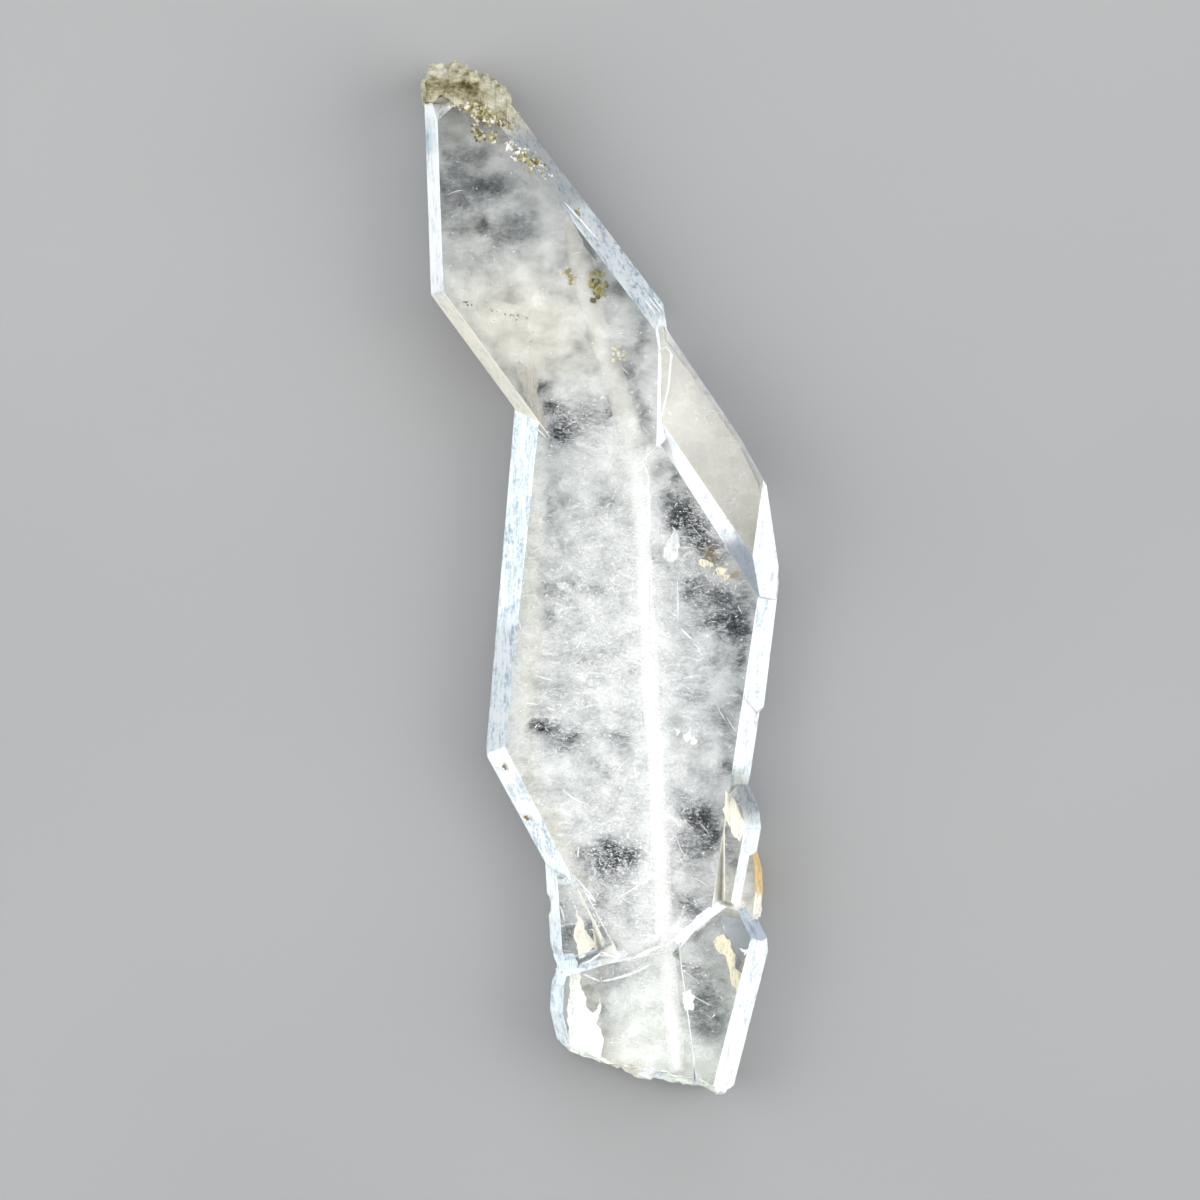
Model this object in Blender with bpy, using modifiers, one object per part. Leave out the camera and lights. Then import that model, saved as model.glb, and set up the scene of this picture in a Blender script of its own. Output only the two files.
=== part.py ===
"""Faden quartz: a group of flat, sub-parallel quartz crystals that grew together along one thread.

The group lies on its back, as such a specimen does in a drawer. +Z is up out of the broad faces,
+Y runs along the group towards the crusted tip and +X is to the right of someone who looks down on it.
Z is 0 on the flat back face of the middle crystal, which carries the group.

Every crystal is a block that is cut down to its flat faces, one plane at a time. The crystals are
then united into one solid, because they grew together.
"""

import math

import bmesh
import bpy
from mathutils import Vector, noise

MM = 0.001

# ---------------------------------------------------------------- driving dimensions, in millimetres

BACK = 0.0            # flat back face of the middle crystal
GIRDLE = 2.4          # level of the widest outline, where front and back bevels meet
FRONT = 4.7           # broad front face of the middle crystal
PRISM_SLOPE = 0.58    # bevel width per unit of drop on a prism face (60 degrees from the front face)

THREAD_RADIUS = 0.62  # white thread in the middle of the group
THREAD_TOP_RADIUS = 0.8
TOUCH_GAP = 0.3       # clearance between pieces that touch

BLOCK_SIZE = 200.0    # side of the block that a crystal is cut from

# A crystal is an outline at its widest level. Each corner is (x, y, front bevel, back bevel), and the
# two bevels belong to the edge that runs from this corner to the next, clockwise from above.
# "facets" are further front faces: two points on the front face and the bevel width per unit of drop.

TOP_CRYSTAL = {
    "outline": [
        (-11.95, 32.65, 0.40, 0.60),
        (-6.00, 32.10, 1.60, 1.30),
        (4.28, 18.63, 0.80, 0.60),
        (5.58, 10.40, 0.15, 0.50),
        (3.06, 7.55, 0.15, 0.50),
        (-1.90, 8.30, 0.15, 0.50),
        (-4.56, 10.00, 0.15, 0.50),
        (-5.78, 11.42, 0.75, 1.20),
        (-11.49, 19.18, 0.88, 0.90),
    ],
    "front": 6.2,
    "girdle": 2.9,
    "back": 0.5,
    "facets": [
        ((4.01, 17.34), (3.84, 8.84), 0.80),
        ((-10.90, 30.85), (-9.70, 31.95), 1.10),
    ],
}

WING = {
    "outline": [
        (4.35, 17.14, 0.12, 1.40),
        (9.59, 9.45, 0.15, 1.40),
        (11.22, 6.53, 0.02, 1.30),
        (12.17, 0.48, 0.02, 1.20),
        (12.04, -1.56, 0.50, 0.60),
        (9.45, -1.70, 2.20, 0.80),
        (2.58, 9.04, 0.10, 0.40),
        (2.72, 16.12, 0.10, 0.40),
    ],
    "front": 6.0,
    "girdle": 3.0,
    "back": 0.9,
    "lean": (0.0, -0.045),
    "facets": [((10.98, 6.05), (10.40, 1.02), PRISM_SLOPE)],
}

THIN_LEDGE = {
    "outline": [
        (3.60, 15.40, 0.20, 0.20),
        (4.62, 15.78, 0.25, 0.20),
        (5.20, 14.95, 0.42, 0.20),
        (5.00, 12.60, 0.42, 0.20),
        (4.55, 10.75, 0.30, 0.20),
        (3.70, 10.30, 0.20, 0.20),
    ],
    "front": 5.95,
    "girdle": 5.0,
    "back": 3.5,
}

MIDDLE_CRYSTAL = {
    "outline": [
        (-5.71, 12.04, 0.20, 0.20),
        (2.72, 13.40, 0.20, 0.20),
        (6.80, 12.04, 0.20, 0.20),
        (11.70, 3.88, 0.60, 0.60),
        (12.17, -0.41, 1.30, 1.30),
        (10.13, -14.14, 0.25, 1.00),
        (8.84, -21.96, 0.60, 0.80),
        (4.90, -26.40, 0.50, 0.50),
        (0.00, -26.20, 0.60, 0.80),
        (-3.74, -19.45, 1.50, 1.50),
        (-7.68, -12.24, 1.00, 1.00),
        (-7.75, -11.56, 1.40, 1.30),
    ],
    "front": FRONT,
    "girdle": GIRDLE,
    "back": BACK,
}

LEFT_PLATE = {
    "outline": [
        (-5.78, 11.70, 0.20, 0.20),
        (-1.70, 12.04, 0.20, 0.20),
        (3.40, 9.32, 0.12, 0.12),
        (3.62, -19.92, 0.20, 0.20),
        (1.36, -24.68, 0.20, 0.20),
        (-0.20, -25.36, 0.60, 0.40),
        (-3.74, -19.38, 1.52, 0.60),
        (-7.65, -12.17, 1.00, 0.60),
        (-7.72, -11.49, 1.38, 0.60),
    ],
    "front": 5.4,
    "girdle": 2.6,
    "back": 1.2,
    "lean": (0.0, 0.045),
    "lean_about": (-2.0, -5.0),
}

RIGHT_LEDGE = {
    "outline": [
        (8.84, -0.88, 0.20, 0.20),
        (12.14, -0.75, 1.42, 1.10),
        (11.15, -8.84, 0.60, 0.60),
        (10.68, -9.38, 0.60, 0.60),
        (8.84, -8.36, 0.20, 0.20),
    ],
    "front": 4.6,
    "girdle": 2.5,
    "back": 0.5,
}

SMALL_CRYSTAL = {
    "outline": [
        (8.43, -14.35, 0.50, 0.50),
        (9.18, -13.74, 0.50, 0.50),
        (10.13, -14.14, 0.98, 0.80),
        (10.81, -15.71, 1.15, 0.80),
        (10.95, -17.07, 1.15, 0.80),
        (10.68, -18.56, 1.10, 0.80),
        (9.79, -23.12, 0.60, 0.60),
        (8.10, -22.30, 0.30, 0.30),
        (8.10, -17.00, 0.30, 0.30),
    ],
    "front": 5.15,
    "girdle": 2.7,
    "back": 0.6,
}

STAINED_LOBE = {
    "outline": [
        (9.52, -18.56, 0.30, 0.30),
        (10.68, -18.63, 0.40, 0.40),
        (11.02, -19.79, 0.50, 0.50),
        (11.08, -21.42, 0.50, 0.50),
        (10.81, -23.46, 0.40, 0.40),
        (9.86, -24.00, 0.30, 0.30),
        (9.18, -21.96, 0.20, 0.20),
    ],
    "front": 3.7,
    "girdle": 2.5,
    "back": 1.0,
}

LOWER_LEFT_CRYSTAL = {
    "outline": [
        (-3.74, -19.45, 0.50, 0.50),
        (-1.90, -19.92, 0.60, 0.50),
        (0.00, -22.30, 0.60, 0.50),
        (0.34, -25.70, 0.60, 0.50),
        (-2.72, -26.66, 0.60, 0.50),
        (-3.36, -25.02, 0.75, 0.90),
    ],
    "front": 4.3,
    "girdle": 2.3,
    "back": 0.3,
}

FOOT_LEFT = {
    "outline": [
        (-2.99, -26.45, 0.75, 0.60),
        (0.00, -25.50, 0.75, 0.60),
        (4.62, -24.55, 0.60, 0.60),
        (7.20, -26.80, 0.60, 0.60),
        (6.80, -37.24, 0.30, 0.30),
        (4.28, -37.56, 0.30, 0.30),
        (-2.20, -33.84, 0.50, 0.50),
        (-2.99, -31.21, 0.80, 0.80),
        (-3.40, -29.44, 0.85, 0.80),
        (-3.33, -27.74, 0.80, 0.80),
    ],
    "front": 4.95,
    "girdle": 2.5,
    "back": 0.35,
}

FOOT_RIGHT = {
    "outline": [
        (5.00, -24.90, 0.40, 0.60),
        (7.90, -21.50, 0.60, 0.60),
        (10.20, -22.17, 0.95, 0.70),
        (11.36, -24.55, 0.90, 0.80),
        (11.42, -25.50, 1.42, 1.20),
        (8.35, -37.56, 0.40, 0.40),
        (6.70, -37.56, 0.30, 0.40),
    ],
    "front": 5.2,
    "girdle": 2.7,
    "back": 0.2,
    "facets": [((5.10, -24.80), (8.00, -22.70), 1.20)],
}

INTERGROWN = {
    "top_crystal": TOP_CRYSTAL,
    "wing": WING,
    "thin_ledge": THIN_LEDGE,
    "left_plate": LEFT_PLATE,
    "right_ledge": RIGHT_LEDGE,
    "small_crystal": SMALL_CRYSTAL,
    "stained_lobe": STAINED_LOBE,
    "lower_left_crystal": LOWER_LEFT_CRYSTAL,
    "foot_left": FOOT_LEFT,
    "foot_right": FOOT_RIGHT,
}

# The thread: (x, y, z, radius) from its upper end to the broken base.
THREAD_ROUTE = [
    (-1.90, 24.50, 2.9, THREAD_TOP_RADIUS * 0.8),
    (-1.10, 20.30, 2.9, THREAD_TOP_RADIUS),
    (0.68, 14.30, 2.8, THREAD_TOP_RADIUS),
    (1.97, 10.00, 2.7, THREAD_TOP_RADIUS),
    (2.60, 7.50, 2.6, THREAD_TOP_RADIUS),
    (2.92, 3.20, 2.5, THREAD_RADIUS),
    (3.06, -0.90, 2.4, THREAD_RADIUS),
    (3.33, -4.30, 2.4, THREAD_RADIUS),
    (3.40, -8.00, 2.4, THREAD_RADIUS),
    (3.74, -11.40, 2.4, THREAD_RADIUS),
    (3.94, -15.70, 2.4, THREAD_RADIUS),
    (4.22, -20.10, 2.4, THREAD_RADIUS),
    (4.40, -24.50, 2.5, THREAD_RADIUS * 1.1),
    (4.83, -28.70, 2.6, THREAD_RADIUS),
    (5.24, -33.60, 2.6, THREAD_RADIUS),
]
THREAD_STEPS = 4      # straight pieces between two points of the route

# The broken base runs from left to right along this line, and the crust sits on the line of its seat.
BREAK_LINE = [(-3.6, -31.0), (-2.5, -31.95), (2.0, -33.5), (5.4, -34.15), (7.9, -34.85), (9.6, -34.5)]
BREAK_DEPTH = 6.0
BREAK_GRAIN = 0.55

CRUST_OUTLINE = [
    (-11.75, 31.60), (-11.80, 33.70), (-11.35, 34.35), (-10.80, 34.65), (-10.20, 34.80), (-9.35, 34.55),
    (-8.25, 34.05), (-7.20, 33.55), (-6.40, 32.85), (-5.40, 31.60), (-6.50, 31.00),
]
CRUST_LOW = 1.0
CRUST_HIGH = 6.2
CRUST_GRAIN = 0.36

# Shallow shell-shaped chips and pits: (x, y, z, radius) of the ball that leaves each one.
CHIPS = [
    (-4.05, -22.30, 2.4, 0.85),
    (-4.05, -26.55, 2.4, 1.15),
    (12.00, -23.05, 2.6, 1.25),
    (11.75, -9.70, 2.3, 0.95),
    (-6.45, -12.90, 4.05, 0.30),
    (-4.95, -16.35, 3.95, 0.28),
]

# The step down to the right of the thread, beside its upper burst: a three-cornered notch.
NOTCH = [(3.95, 8.90), (2.85, 7.80), (3.55, 6.30)]
NOTCH_FLOOR = 4.75

COLOURS = {
    "quartz": (0.80, 0.81, 0.77),
    "faden_thread": (0.93, 0.93, 0.90),
    "chlorite_crust": (0.42, 0.39, 0.24),
}


# ---------------------------------------------------------------- scene, collections, materials

def clear_scene():
    for item in list(bpy.data.objects):
        bpy.data.objects.remove(item, do_unlink=True)
    for group in list(bpy.data.collections):
        bpy.data.collections.remove(group)


def new_collection(name):
    group = bpy.data.collections.new(name)
    bpy.context.scene.collection.children.link(group)
    return group


def mineral(name, roughness, transmission=0.0):
    """A Principled material in the mineral's own colour."""
    material = bpy.data.materials.new(name)
    material.use_nodes = True
    shader = material.node_tree.nodes["Principled BSDF"]
    shader.inputs["Base Color"].default_value = (*COLOURS[name], 1.0)
    shader.inputs["Roughness"].default_value = roughness
    shader.inputs["Metallic"].default_value = 0.0
    shader.inputs["Transmission Weight"].default_value = transmission
    shader.inputs["IOR"].default_value = 1.544
    material.diffuse_color = (*COLOURS[name], 1.0)
    return material


def add_object(name, bm, group):
    """Turn a finished bmesh into an object of the collection."""
    bmesh.ops.recalc_face_normals(bm, faces=bm.faces[:])
    data = bpy.data.meshes.new(name)
    bm.to_mesh(data)
    bm.free()
    item = bpy.data.objects.new(name, data)
    group.objects.link(item)
    return item


def make_tool(item):
    """Mark an object as a cutter or a guide."""
    item.hide_render = True
    item.display_type = "WIRE"
    return item


def combine(target, tool, operation):
    step = target.modifiers.new(f"{operation.lower()}_{tool.name}", "BOOLEAN")
    step.operation = operation
    step.object = tool
    step.solver = "EXACT"


# ---------------------------------------------------------------- crystals

def cut(bm, point, normal):
    """Take away what lies beyond a plane, given in millimetres, and close the cut with a face."""
    result = bmesh.ops.bisect_plane(
        bm,
        geom=bm.verts[:] + bm.edges[:] + bm.faces[:],
        dist=1e-8,
        plane_co=Vector(point) * MM,
        plane_no=Vector(normal).normalized(),
        clear_outer=True,
    )
    rim = [part for part in result["geom_cut"] if isinstance(part, bmesh.types.BMEdge)]
    if rim:
        bmesh.ops.holes_fill(bm, edges=rim, sides=0)


def outward(start, end):
    """Unit direction away from a clockwise outline, square to the edge from start to end."""
    along = Vector((end[0] - start[0], end[1] - start[1]))
    return Vector((-along.y, along.x)).normalized()


def crystal(spec):
    """Cut a block down to one tabular crystal."""
    bm = bmesh.new()
    bmesh.ops.create_cube(bm, size=BLOCK_SIZE * MM)
    corners = spec["outline"]
    girdle = spec["girdle"]
    rise = spec["front"] - girdle
    fall = girdle - spec["back"]
    lean_x, lean_y = spec.get("lean", (0.0, 0.0))
    middle_x = sum(corner[0] for corner in corners) / len(corners)
    middle_y = sum(corner[1] for corner in corners) / len(corners)
    about_x, about_y = spec.get("lean_about", (middle_x, middle_y))

    cut(bm, (about_x, about_y, spec["front"]), (-lean_x, -lean_y, 1.0))
    cut(bm, (about_x, about_y, spec["back"]), (0.0, 0.0, -1.0))
    for corner, following in zip(corners, corners[1:] + corners[:1]):
        side = outward(corner, following)
        edge = (corner[0], corner[1], girdle)
        cut(bm, edge, (side.x * rise, side.y * rise, corner[2]))
        cut(bm, edge, (side.x * fall, side.y * fall, -corner[3]))
    for start, end, width_per_drop in spec.get("facets", []):
        side = outward(start, end)
        level = spec["front"] + lean_x * (start[0] - about_x) + lean_y * (start[1] - about_y)
        cut(bm, (start[0], start[1], level), (side.x, side.y, width_per_drop))
    return bm


# ---------------------------------------------------------------- thread and its pocket

def smooth_route(points, steps):
    """Catmull-Rom points through the route, so that the thread has no corners."""
    padded = [points[0]] + points + [points[-1]]
    result = []
    for index in range(len(points) - 1):
        before, start, end, after = padded[index:index + 4]
        for step in range(steps):
            t = step / steps
            result.append(tuple(
                0.5 * (2 * b + (c - a) * t + (2 * a - 5 * b + 4 * c - d) * t ** 2
                       + (3 * b - a - 3 * c + d) * t ** 3)
                for a, b, c, d in zip(before, start, end, after)
            ))
    result.append(points[-1])
    return result


def tube(name, points, group):
    """A round tube with closed ends along points of (x, y, z, radius), made a welded mesh."""
    curve = bpy.data.curves.new(name, "CURVE")
    curve.dimensions = "3D"
    curve.bevel_depth = MM
    curve.bevel_resolution = 2
    curve.use_fill_caps = True
    spline = curve.splines.new("POLY")
    spline.points.add(len(points) - 1)
    for place, (x, y, z, radius) in zip(spline.points, points):
        place.co = (x * MM, y * MM, z * MM, 1.0)
        place.radius = radius
    guide = bpy.data.objects.new(name + "_curve", curve)
    group.objects.link(guide)
    graph = bpy.context.evaluated_depsgraph_get()
    data = bpy.data.meshes.new_from_object(guide.evaluated_get(graph))
    bpy.data.objects.remove(guide, do_unlink=True)

    bm = bmesh.new()
    bm.from_mesh(data)
    bpy.data.meshes.remove(data)
    bmesh.ops.remove_doubles(bm, verts=bm.verts[:], dist=1e-6)
    return add_object(name, bm, group)


def thread_points():
    """The route with the small swellings of a natural thread."""
    result = []
    for x, y, z, radius in smooth_route(THREAD_ROUTE, THREAD_STEPS):
        swelling = 1.0 + 0.10 * noise.noise(Vector((x, y, z)) * 0.9)
        result.append((x, y, z, radius * swelling))
    return result


def pocket_points(points):
    """The thread's route, wider all round and run out through the broken base."""
    wider = [(x, y, z, radius + TOUCH_GAP) for x, y, z, radius in points]
    first = wider[0]
    last = wider[-1]
    start = (first[0] - 0.1, first[1] + 0.4, first[2], first[3])
    mouth = (last[0] + 0.2, last[1] - 3.0, last[2], last[3])
    return [start] + wider + [mouth]


# ---------------------------------------------------------------- break, chips and notch

def level_on(line, x):
    """The y of an open line of (x, y) points at x."""
    for start, end in zip(line, line[1:]):
        if x <= end[0] or end is line[-1]:
            share = (x - start[0]) / (end[0] - start[0])
            return start[1] + (end[1] - start[1]) * share
    return line[-1][1]


def break_cutter(group):
    """A thick sheet whose upper side is the rough surface of the broken base."""
    low = BREAK_LINE[0][0] - 2.0
    high = BREAK_LINE[-1][0] + 2.0
    columns = round((high - low) / BREAK_GRAIN)
    rows = round(9.0 / BREAK_GRAIN)
    bm = bmesh.new()
    bmesh.ops.create_grid(bm, x_segments=columns, y_segments=rows, size=1.0)
    for vert in bm.verts:
        x = low + (high - low) * (vert.co.x + 1.0) / 2.0
        z = 9.0 * (vert.co.y + 1.0) / 2.0 - 1.0
        rough = noise.noise(Vector((x * 0.55, z * 0.7, 1.0))) * 0.55
        rough += noise.noise(Vector((x * 1.7, z * 1.9, 5.0))) * 0.28
        shell = 0.25 * math.cos((z - 2.5) * 0.75)
        y = level_on(BREAK_LINE, x) + rough - shell + 0.1
        vert.co = Vector((x, y, z)) * MM
    swept = bmesh.ops.extrude_face_region(bm, geom=bm.faces[:], use_keep_orig=True)
    moved = [part for part in swept["geom"] if isinstance(part, bmesh.types.BMVert)]
    bmesh.ops.translate(bm, verts=moved, vec=(0.0, -BREAK_DEPTH * MM, 0.0))
    return make_tool(add_object("break_cutter", bm, group))


def chip_cutter(index, place, group):
    x, y, z, radius = place
    bm = bmesh.new()
    bmesh.ops.create_icosphere(bm, subdivisions=2, radius=radius * MM)
    bmesh.ops.translate(bm, verts=bm.verts[:], vec=Vector((x, y, z)) * MM)
    return make_tool(add_object(f"chip_cutter_{index}", bm, group))


def notch_cutter(group):
    bm = bmesh.new()
    corners = [bm.verts.new(Vector((x, y, NOTCH_FLOOR)) * MM) for x, y in NOTCH]
    base = bm.faces.new(corners)
    swept = bmesh.ops.extrude_face_region(bm, geom=[base], use_keep_orig=True)
    moved = [part for part in swept["geom"] if isinstance(part, bmesh.types.BMVert)]
    bmesh.ops.translate(bm, verts=moved, vec=(0.0, 0.0, 5.0 * MM))
    return make_tool(add_object("notch_cutter", bm, group))


# ---------------------------------------------------------------- crust

def crust_body(group):
    """A granular cap: the outline as a block, remeshed evenly, roughened, and cut flat at its seat."""
    bm = bmesh.new()
    corners = [bm.verts.new(Vector((x, y, CRUST_LOW)) * MM) for x, y in CRUST_OUTLINE]
    base = bm.faces.new(corners)
    swept = bmesh.ops.extrude_face_region(bm, geom=[base], use_keep_orig=True)
    moved = [part for part in swept["geom"] if isinstance(part, bmesh.types.BMVert)]
    bmesh.ops.translate(bm, verts=moved, vec=(0.0, 0.0, (CRUST_HIGH - CRUST_LOW) * MM))
    block = add_object("crust_block", bm, group)

    even = block.modifiers.new("even", "REMESH")
    even.mode = "VOXEL"
    even.voxel_size = CRUST_GRAIN * MM
    graph = bpy.context.evaluated_depsgraph_get()
    data = bpy.data.meshes.new_from_object(block.evaluated_get(graph))
    bpy.data.objects.remove(block, do_unlink=True)

    bm = bmesh.new()
    bm.from_mesh(data)
    bpy.data.meshes.remove(data)
    bm.normal_update()
    for vert in bm.verts:
        place = vert.co / MM
        grain = noise.cell(place * 1.9) * 0.30 + noise.noise(place * 1.3) * 0.35
        vert.co += vert.normal * grain * MM
    first = TOP_CRYSTAL["outline"][0]
    second = TOP_CRYSTAL["outline"][1]
    side = outward(first, second)
    cut(bm, (first[0], first[1] + TOUCH_GAP, 0.0), (-side.x, -side.y, 0.0))
    return bm


# ---------------------------------------------------------------- the whole group

def build():
    clear_scene()
    parts = new_collection("faden_quartz")
    tools = new_collection("cutters")

    quartz = add_object("quartz", crystal(MIDDLE_CRYSTAL), parts)
    quartz.data.materials.append(mineral("quartz", 0.08, 0.6))
    for name, spec in INTERGROWN.items():
        combine(quartz, make_tool(add_object(name, crystal(spec), tools)), "UNION")

    points = thread_points()
    thread = tube("faden_thread", points, parts)
    thread.data.materials.append(mineral("faden_thread", 0.7))
    thread.data.shade_smooth()
    pocket = make_tool(tube("thread_pocket", pocket_points(points), tools))

    combine(quartz, notch_cutter(tools), "DIFFERENCE")
    combine(quartz, break_cutter(tools), "DIFFERENCE")
    for index, place in enumerate(CHIPS):
        combine(quartz, chip_cutter(index, place, tools), "DIFFERENCE")
    combine(quartz, pocket, "DIFFERENCE")

    crust = add_object("chlorite_crust", crust_body(tools), parts)
    crust.data.materials.append(mineral("chlorite_crust", 0.95))


build()
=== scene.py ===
# %% [markdown]
# # A faden quartz specimen
#
# Faden quartz is a group of flat quartz crystals that grew side by side along one white thread.
# The thread is a seam of tiny bubbles: the rock cracked open again and again while the quartz grew.
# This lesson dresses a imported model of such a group. The model says where everything is, and the
# cells below say what it looks like: clear quartz, the cloudy veils inside it, the bright prism
# faces, the thread and the green-brown crust on the tip.
#
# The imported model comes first, because every piece below is placed by it. All of it is in metres.

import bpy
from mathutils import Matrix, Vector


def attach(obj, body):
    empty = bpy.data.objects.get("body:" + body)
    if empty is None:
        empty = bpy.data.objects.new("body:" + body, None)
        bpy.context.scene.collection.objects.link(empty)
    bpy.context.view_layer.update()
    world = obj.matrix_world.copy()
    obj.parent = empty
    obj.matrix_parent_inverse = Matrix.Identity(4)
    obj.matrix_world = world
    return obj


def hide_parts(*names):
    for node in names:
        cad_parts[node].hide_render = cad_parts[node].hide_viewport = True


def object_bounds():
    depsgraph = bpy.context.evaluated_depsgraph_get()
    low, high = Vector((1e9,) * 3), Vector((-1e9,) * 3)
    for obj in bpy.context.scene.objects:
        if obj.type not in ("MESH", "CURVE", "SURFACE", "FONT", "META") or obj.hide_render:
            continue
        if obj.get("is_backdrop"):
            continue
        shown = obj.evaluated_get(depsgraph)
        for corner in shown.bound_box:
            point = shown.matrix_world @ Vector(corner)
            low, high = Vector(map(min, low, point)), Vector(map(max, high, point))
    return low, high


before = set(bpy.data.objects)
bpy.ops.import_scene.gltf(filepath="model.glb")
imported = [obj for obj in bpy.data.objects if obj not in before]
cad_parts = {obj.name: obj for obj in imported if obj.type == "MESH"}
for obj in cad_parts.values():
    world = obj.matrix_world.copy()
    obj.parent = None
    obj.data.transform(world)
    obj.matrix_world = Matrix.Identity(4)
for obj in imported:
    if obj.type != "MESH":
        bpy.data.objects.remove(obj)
cad_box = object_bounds()
print("packed nodes:", sorted(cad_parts))

# %% Bring in the tools
import math
import random

import bmesh
import bpy
from mathutils import Matrix, Vector, noise
from mathutils.bvhtree import BVHTree

MM = 0.001
BODY = "root"
scene = bpy.context.scene

# Without a seed the vector noise differs from run to run.
NOISE_SEED = 4
noise.seed_set(NOISE_SEED)

# %% [markdown]
# ## Camera, table and light
#
# A group like this can't stand, so it lies on its back and the camera looks straight down on it.
# A long lens from far away keeps the flat faces square to the view, as in a catalogue picture.
# The picture's width is a real length, so the lens and the distance follow from it.

# %% Camera
VIEW_WIDTH = 81.6
VIEW_CENTRE = Vector((0.0, -1.564, 2.7))
LENS = 200.0
SENSOR = 36.0

camera_data = bpy.data.cameras.new("camera")
camera_data.lens = LENS
camera_data.sensor_width = SENSOR
camera_data.clip_start = 10.0 * MM
camera = bpy.data.objects.new("camera", camera_data)
camera.location = (VIEW_CENTRE + Vector((0.0, 0.0, VIEW_WIDTH * LENS / SENSOR))) * MM
scene.collection.objects.link(camera)
scene.camera = camera
print("camera height, mm:", round(camera.location.z / MM, 1))

# %% [markdown]
# A node material is a small tree. The helpers below keep each tree short. The first adds a node,
# sets its inputs and wires sockets in. The others do the same for what comes back often: a bit of
# arithmetic, a ramp, two mixed colours, a painted attribute, a bump and the main shader.

# %% Node helpers
FIRST_COLOUR, SECOND_COLOUR, MIXED_COLOUR = 6, 7, 2


def node(tree, kind, inputs=None, **settings):
    """Add a node. An input is given a value, or the socket that feeds it."""
    made = tree.nodes.new(kind)
    for name, value in settings.items():
        setattr(made, name, value)
    for name, value in (inputs or {}).items():
        if isinstance(value, bpy.types.NodeSocket):
            tree.links.new(value, made.inputs[name])
        else:
            made.inputs[name].default_value = value
    return made


def calc(tree, operation, first, second=0.5, third=None, clamp=False):
    """A Math node's answer."""
    inputs = {0: first, 1: second}
    if third is not None:
        inputs[2] = third
    return node(tree, "ShaderNodeMath", inputs, operation=operation, use_clamp=clamp).outputs[0]


def spread(tree, value, low, high, new_low=0.0, new_high=1.0):
    """Map low to high onto new_low to new_high."""
    inputs = {"Value": value, "From Min": low, "From Max": high, "To Min": new_low, "To Max": new_high}
    return node(tree, "ShaderNodeMapRange", inputs).outputs["Result"]


def ramp(tree, value, stops):
    """A colour ramp with (place, colour) stops."""
    made = node(tree, "ShaderNodeValToRGB", {"Fac": value})
    elements = made.color_ramp.elements
    while len(elements) < len(stops):
        elements.new(1.0)
    for element, (place, colour) in zip(elements, stops):
        element.position = place
        element.color = (*colour, 1.0)
    return made.outputs["Color"]


def blend(tree, share, first, second, how="MIX"):
    """Two colours, mixed by a share. A Mix node's colour sockets only have numbers of their own."""
    inputs = {"Factor": share, FIRST_COLOUR: first, SECOND_COLOUR: second}
    made = node(tree, "ShaderNodeMix", inputs, data_type="RGBA", blend_type=how)
    return made.outputs[MIXED_COLOUR]


def painted(tree, name):
    """A painted attribute's colour and alpha."""
    found = node(tree, "ShaderNodeAttribute", attribute_name=name, attribute_type="GEOMETRY")
    return found.outputs["Color"], found.outputs["Alpha"]


def channels(tree, colour):
    """A colour's red, green and blue."""
    split = node(tree, "ShaderNodeSeparateColor", {"Color": colour})
    return [split.outputs[name] for name in ("Red", "Green", "Blue")]


def place_on(tree, axis):
    """How far a point is along an axis of the object."""
    place = node(tree, "ShaderNodeTexCoord").outputs["Object"]
    return node(tree, "ShaderNodeSeparateXYZ", {"Vector": place}).outputs[axis]


def bump(tree, height, strength, depth):
    """A normal roughened by a pattern, with its depth in millimetres."""
    inputs = {"Height": height, "Strength": strength, "Distance": depth * MM}
    return node(tree, "ShaderNodeBump", inputs).outputs["Normal"]


def principled(tree, inputs):
    """The main shader."""
    return node(tree, "ShaderNodeBsdfPrincipled", inputs).outputs["BSDF"]


def finish(tree, output, shader):
    """Wire a shader to the material's surface."""
    tree.links.new(shader, output.inputs["Surface"])


def new_material(name):
    """An empty node tree with its output, ready for a shader."""
    material = bpy.data.materials.new(name)
    material.use_nodes = True
    tree = material.node_tree
    tree.nodes.clear()
    return material, tree, node(tree, "ShaderNodeOutputMaterial")


# %% [markdown]
# Some patterns come back in several materials, so each is a node group with its own input:
# flecks that lie crosswise to the thread, soft clouds, and the streaks of prism faces. Two more
# keep only a noise's middle level, which leaves thin lines: long curved strands like healed cracks,
# and the short crumpled fissures between them. All read Object coordinates and turn them into
# millimetres, so a pattern keeps its real size.

# %% Pattern groups
def noise_group(name, stretch, turn, detail, roughness, distortion):
    """A group with a noise in it: Grain is how many grains go into a millimetre."""
    group = bpy.data.node_groups.new(name, "ShaderNodeTree")
    group.interface.new_socket(name="Grain", in_out="INPUT", socket_type="NodeSocketFloat")
    group.interface.new_socket(name="Pattern", in_out="OUTPUT", socket_type="NodeSocketFloat")
    laid = node(group, "ShaderNodeMapping", {
        "Vector": node(group, "ShaderNodeTexCoord").outputs["Object"],
        "Rotation": (0.0, 0.0, turn), "Scale": tuple(part / MM for part in stretch),
    })
    grains = node(group, "ShaderNodeTexNoise", {
        "Vector": laid.outputs["Vector"], "Scale": node(group, "NodeGroupInput").outputs["Grain"],
        "Detail": detail, "Roughness": roughness, "Distortion": distortion,
    })
    return group, grains.outputs[0]


def grain_group(name, stretch, turn, detail, roughness, distortion):
    """Grains: the noise itself, stretched to fill 0 to 1."""
    group, grains = noise_group(name, stretch, turn, detail, roughness, distortion)
    node(group, "NodeGroupOutput", {"Pattern": spread(group, grains, 0.28, 0.72)})
    return group


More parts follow.
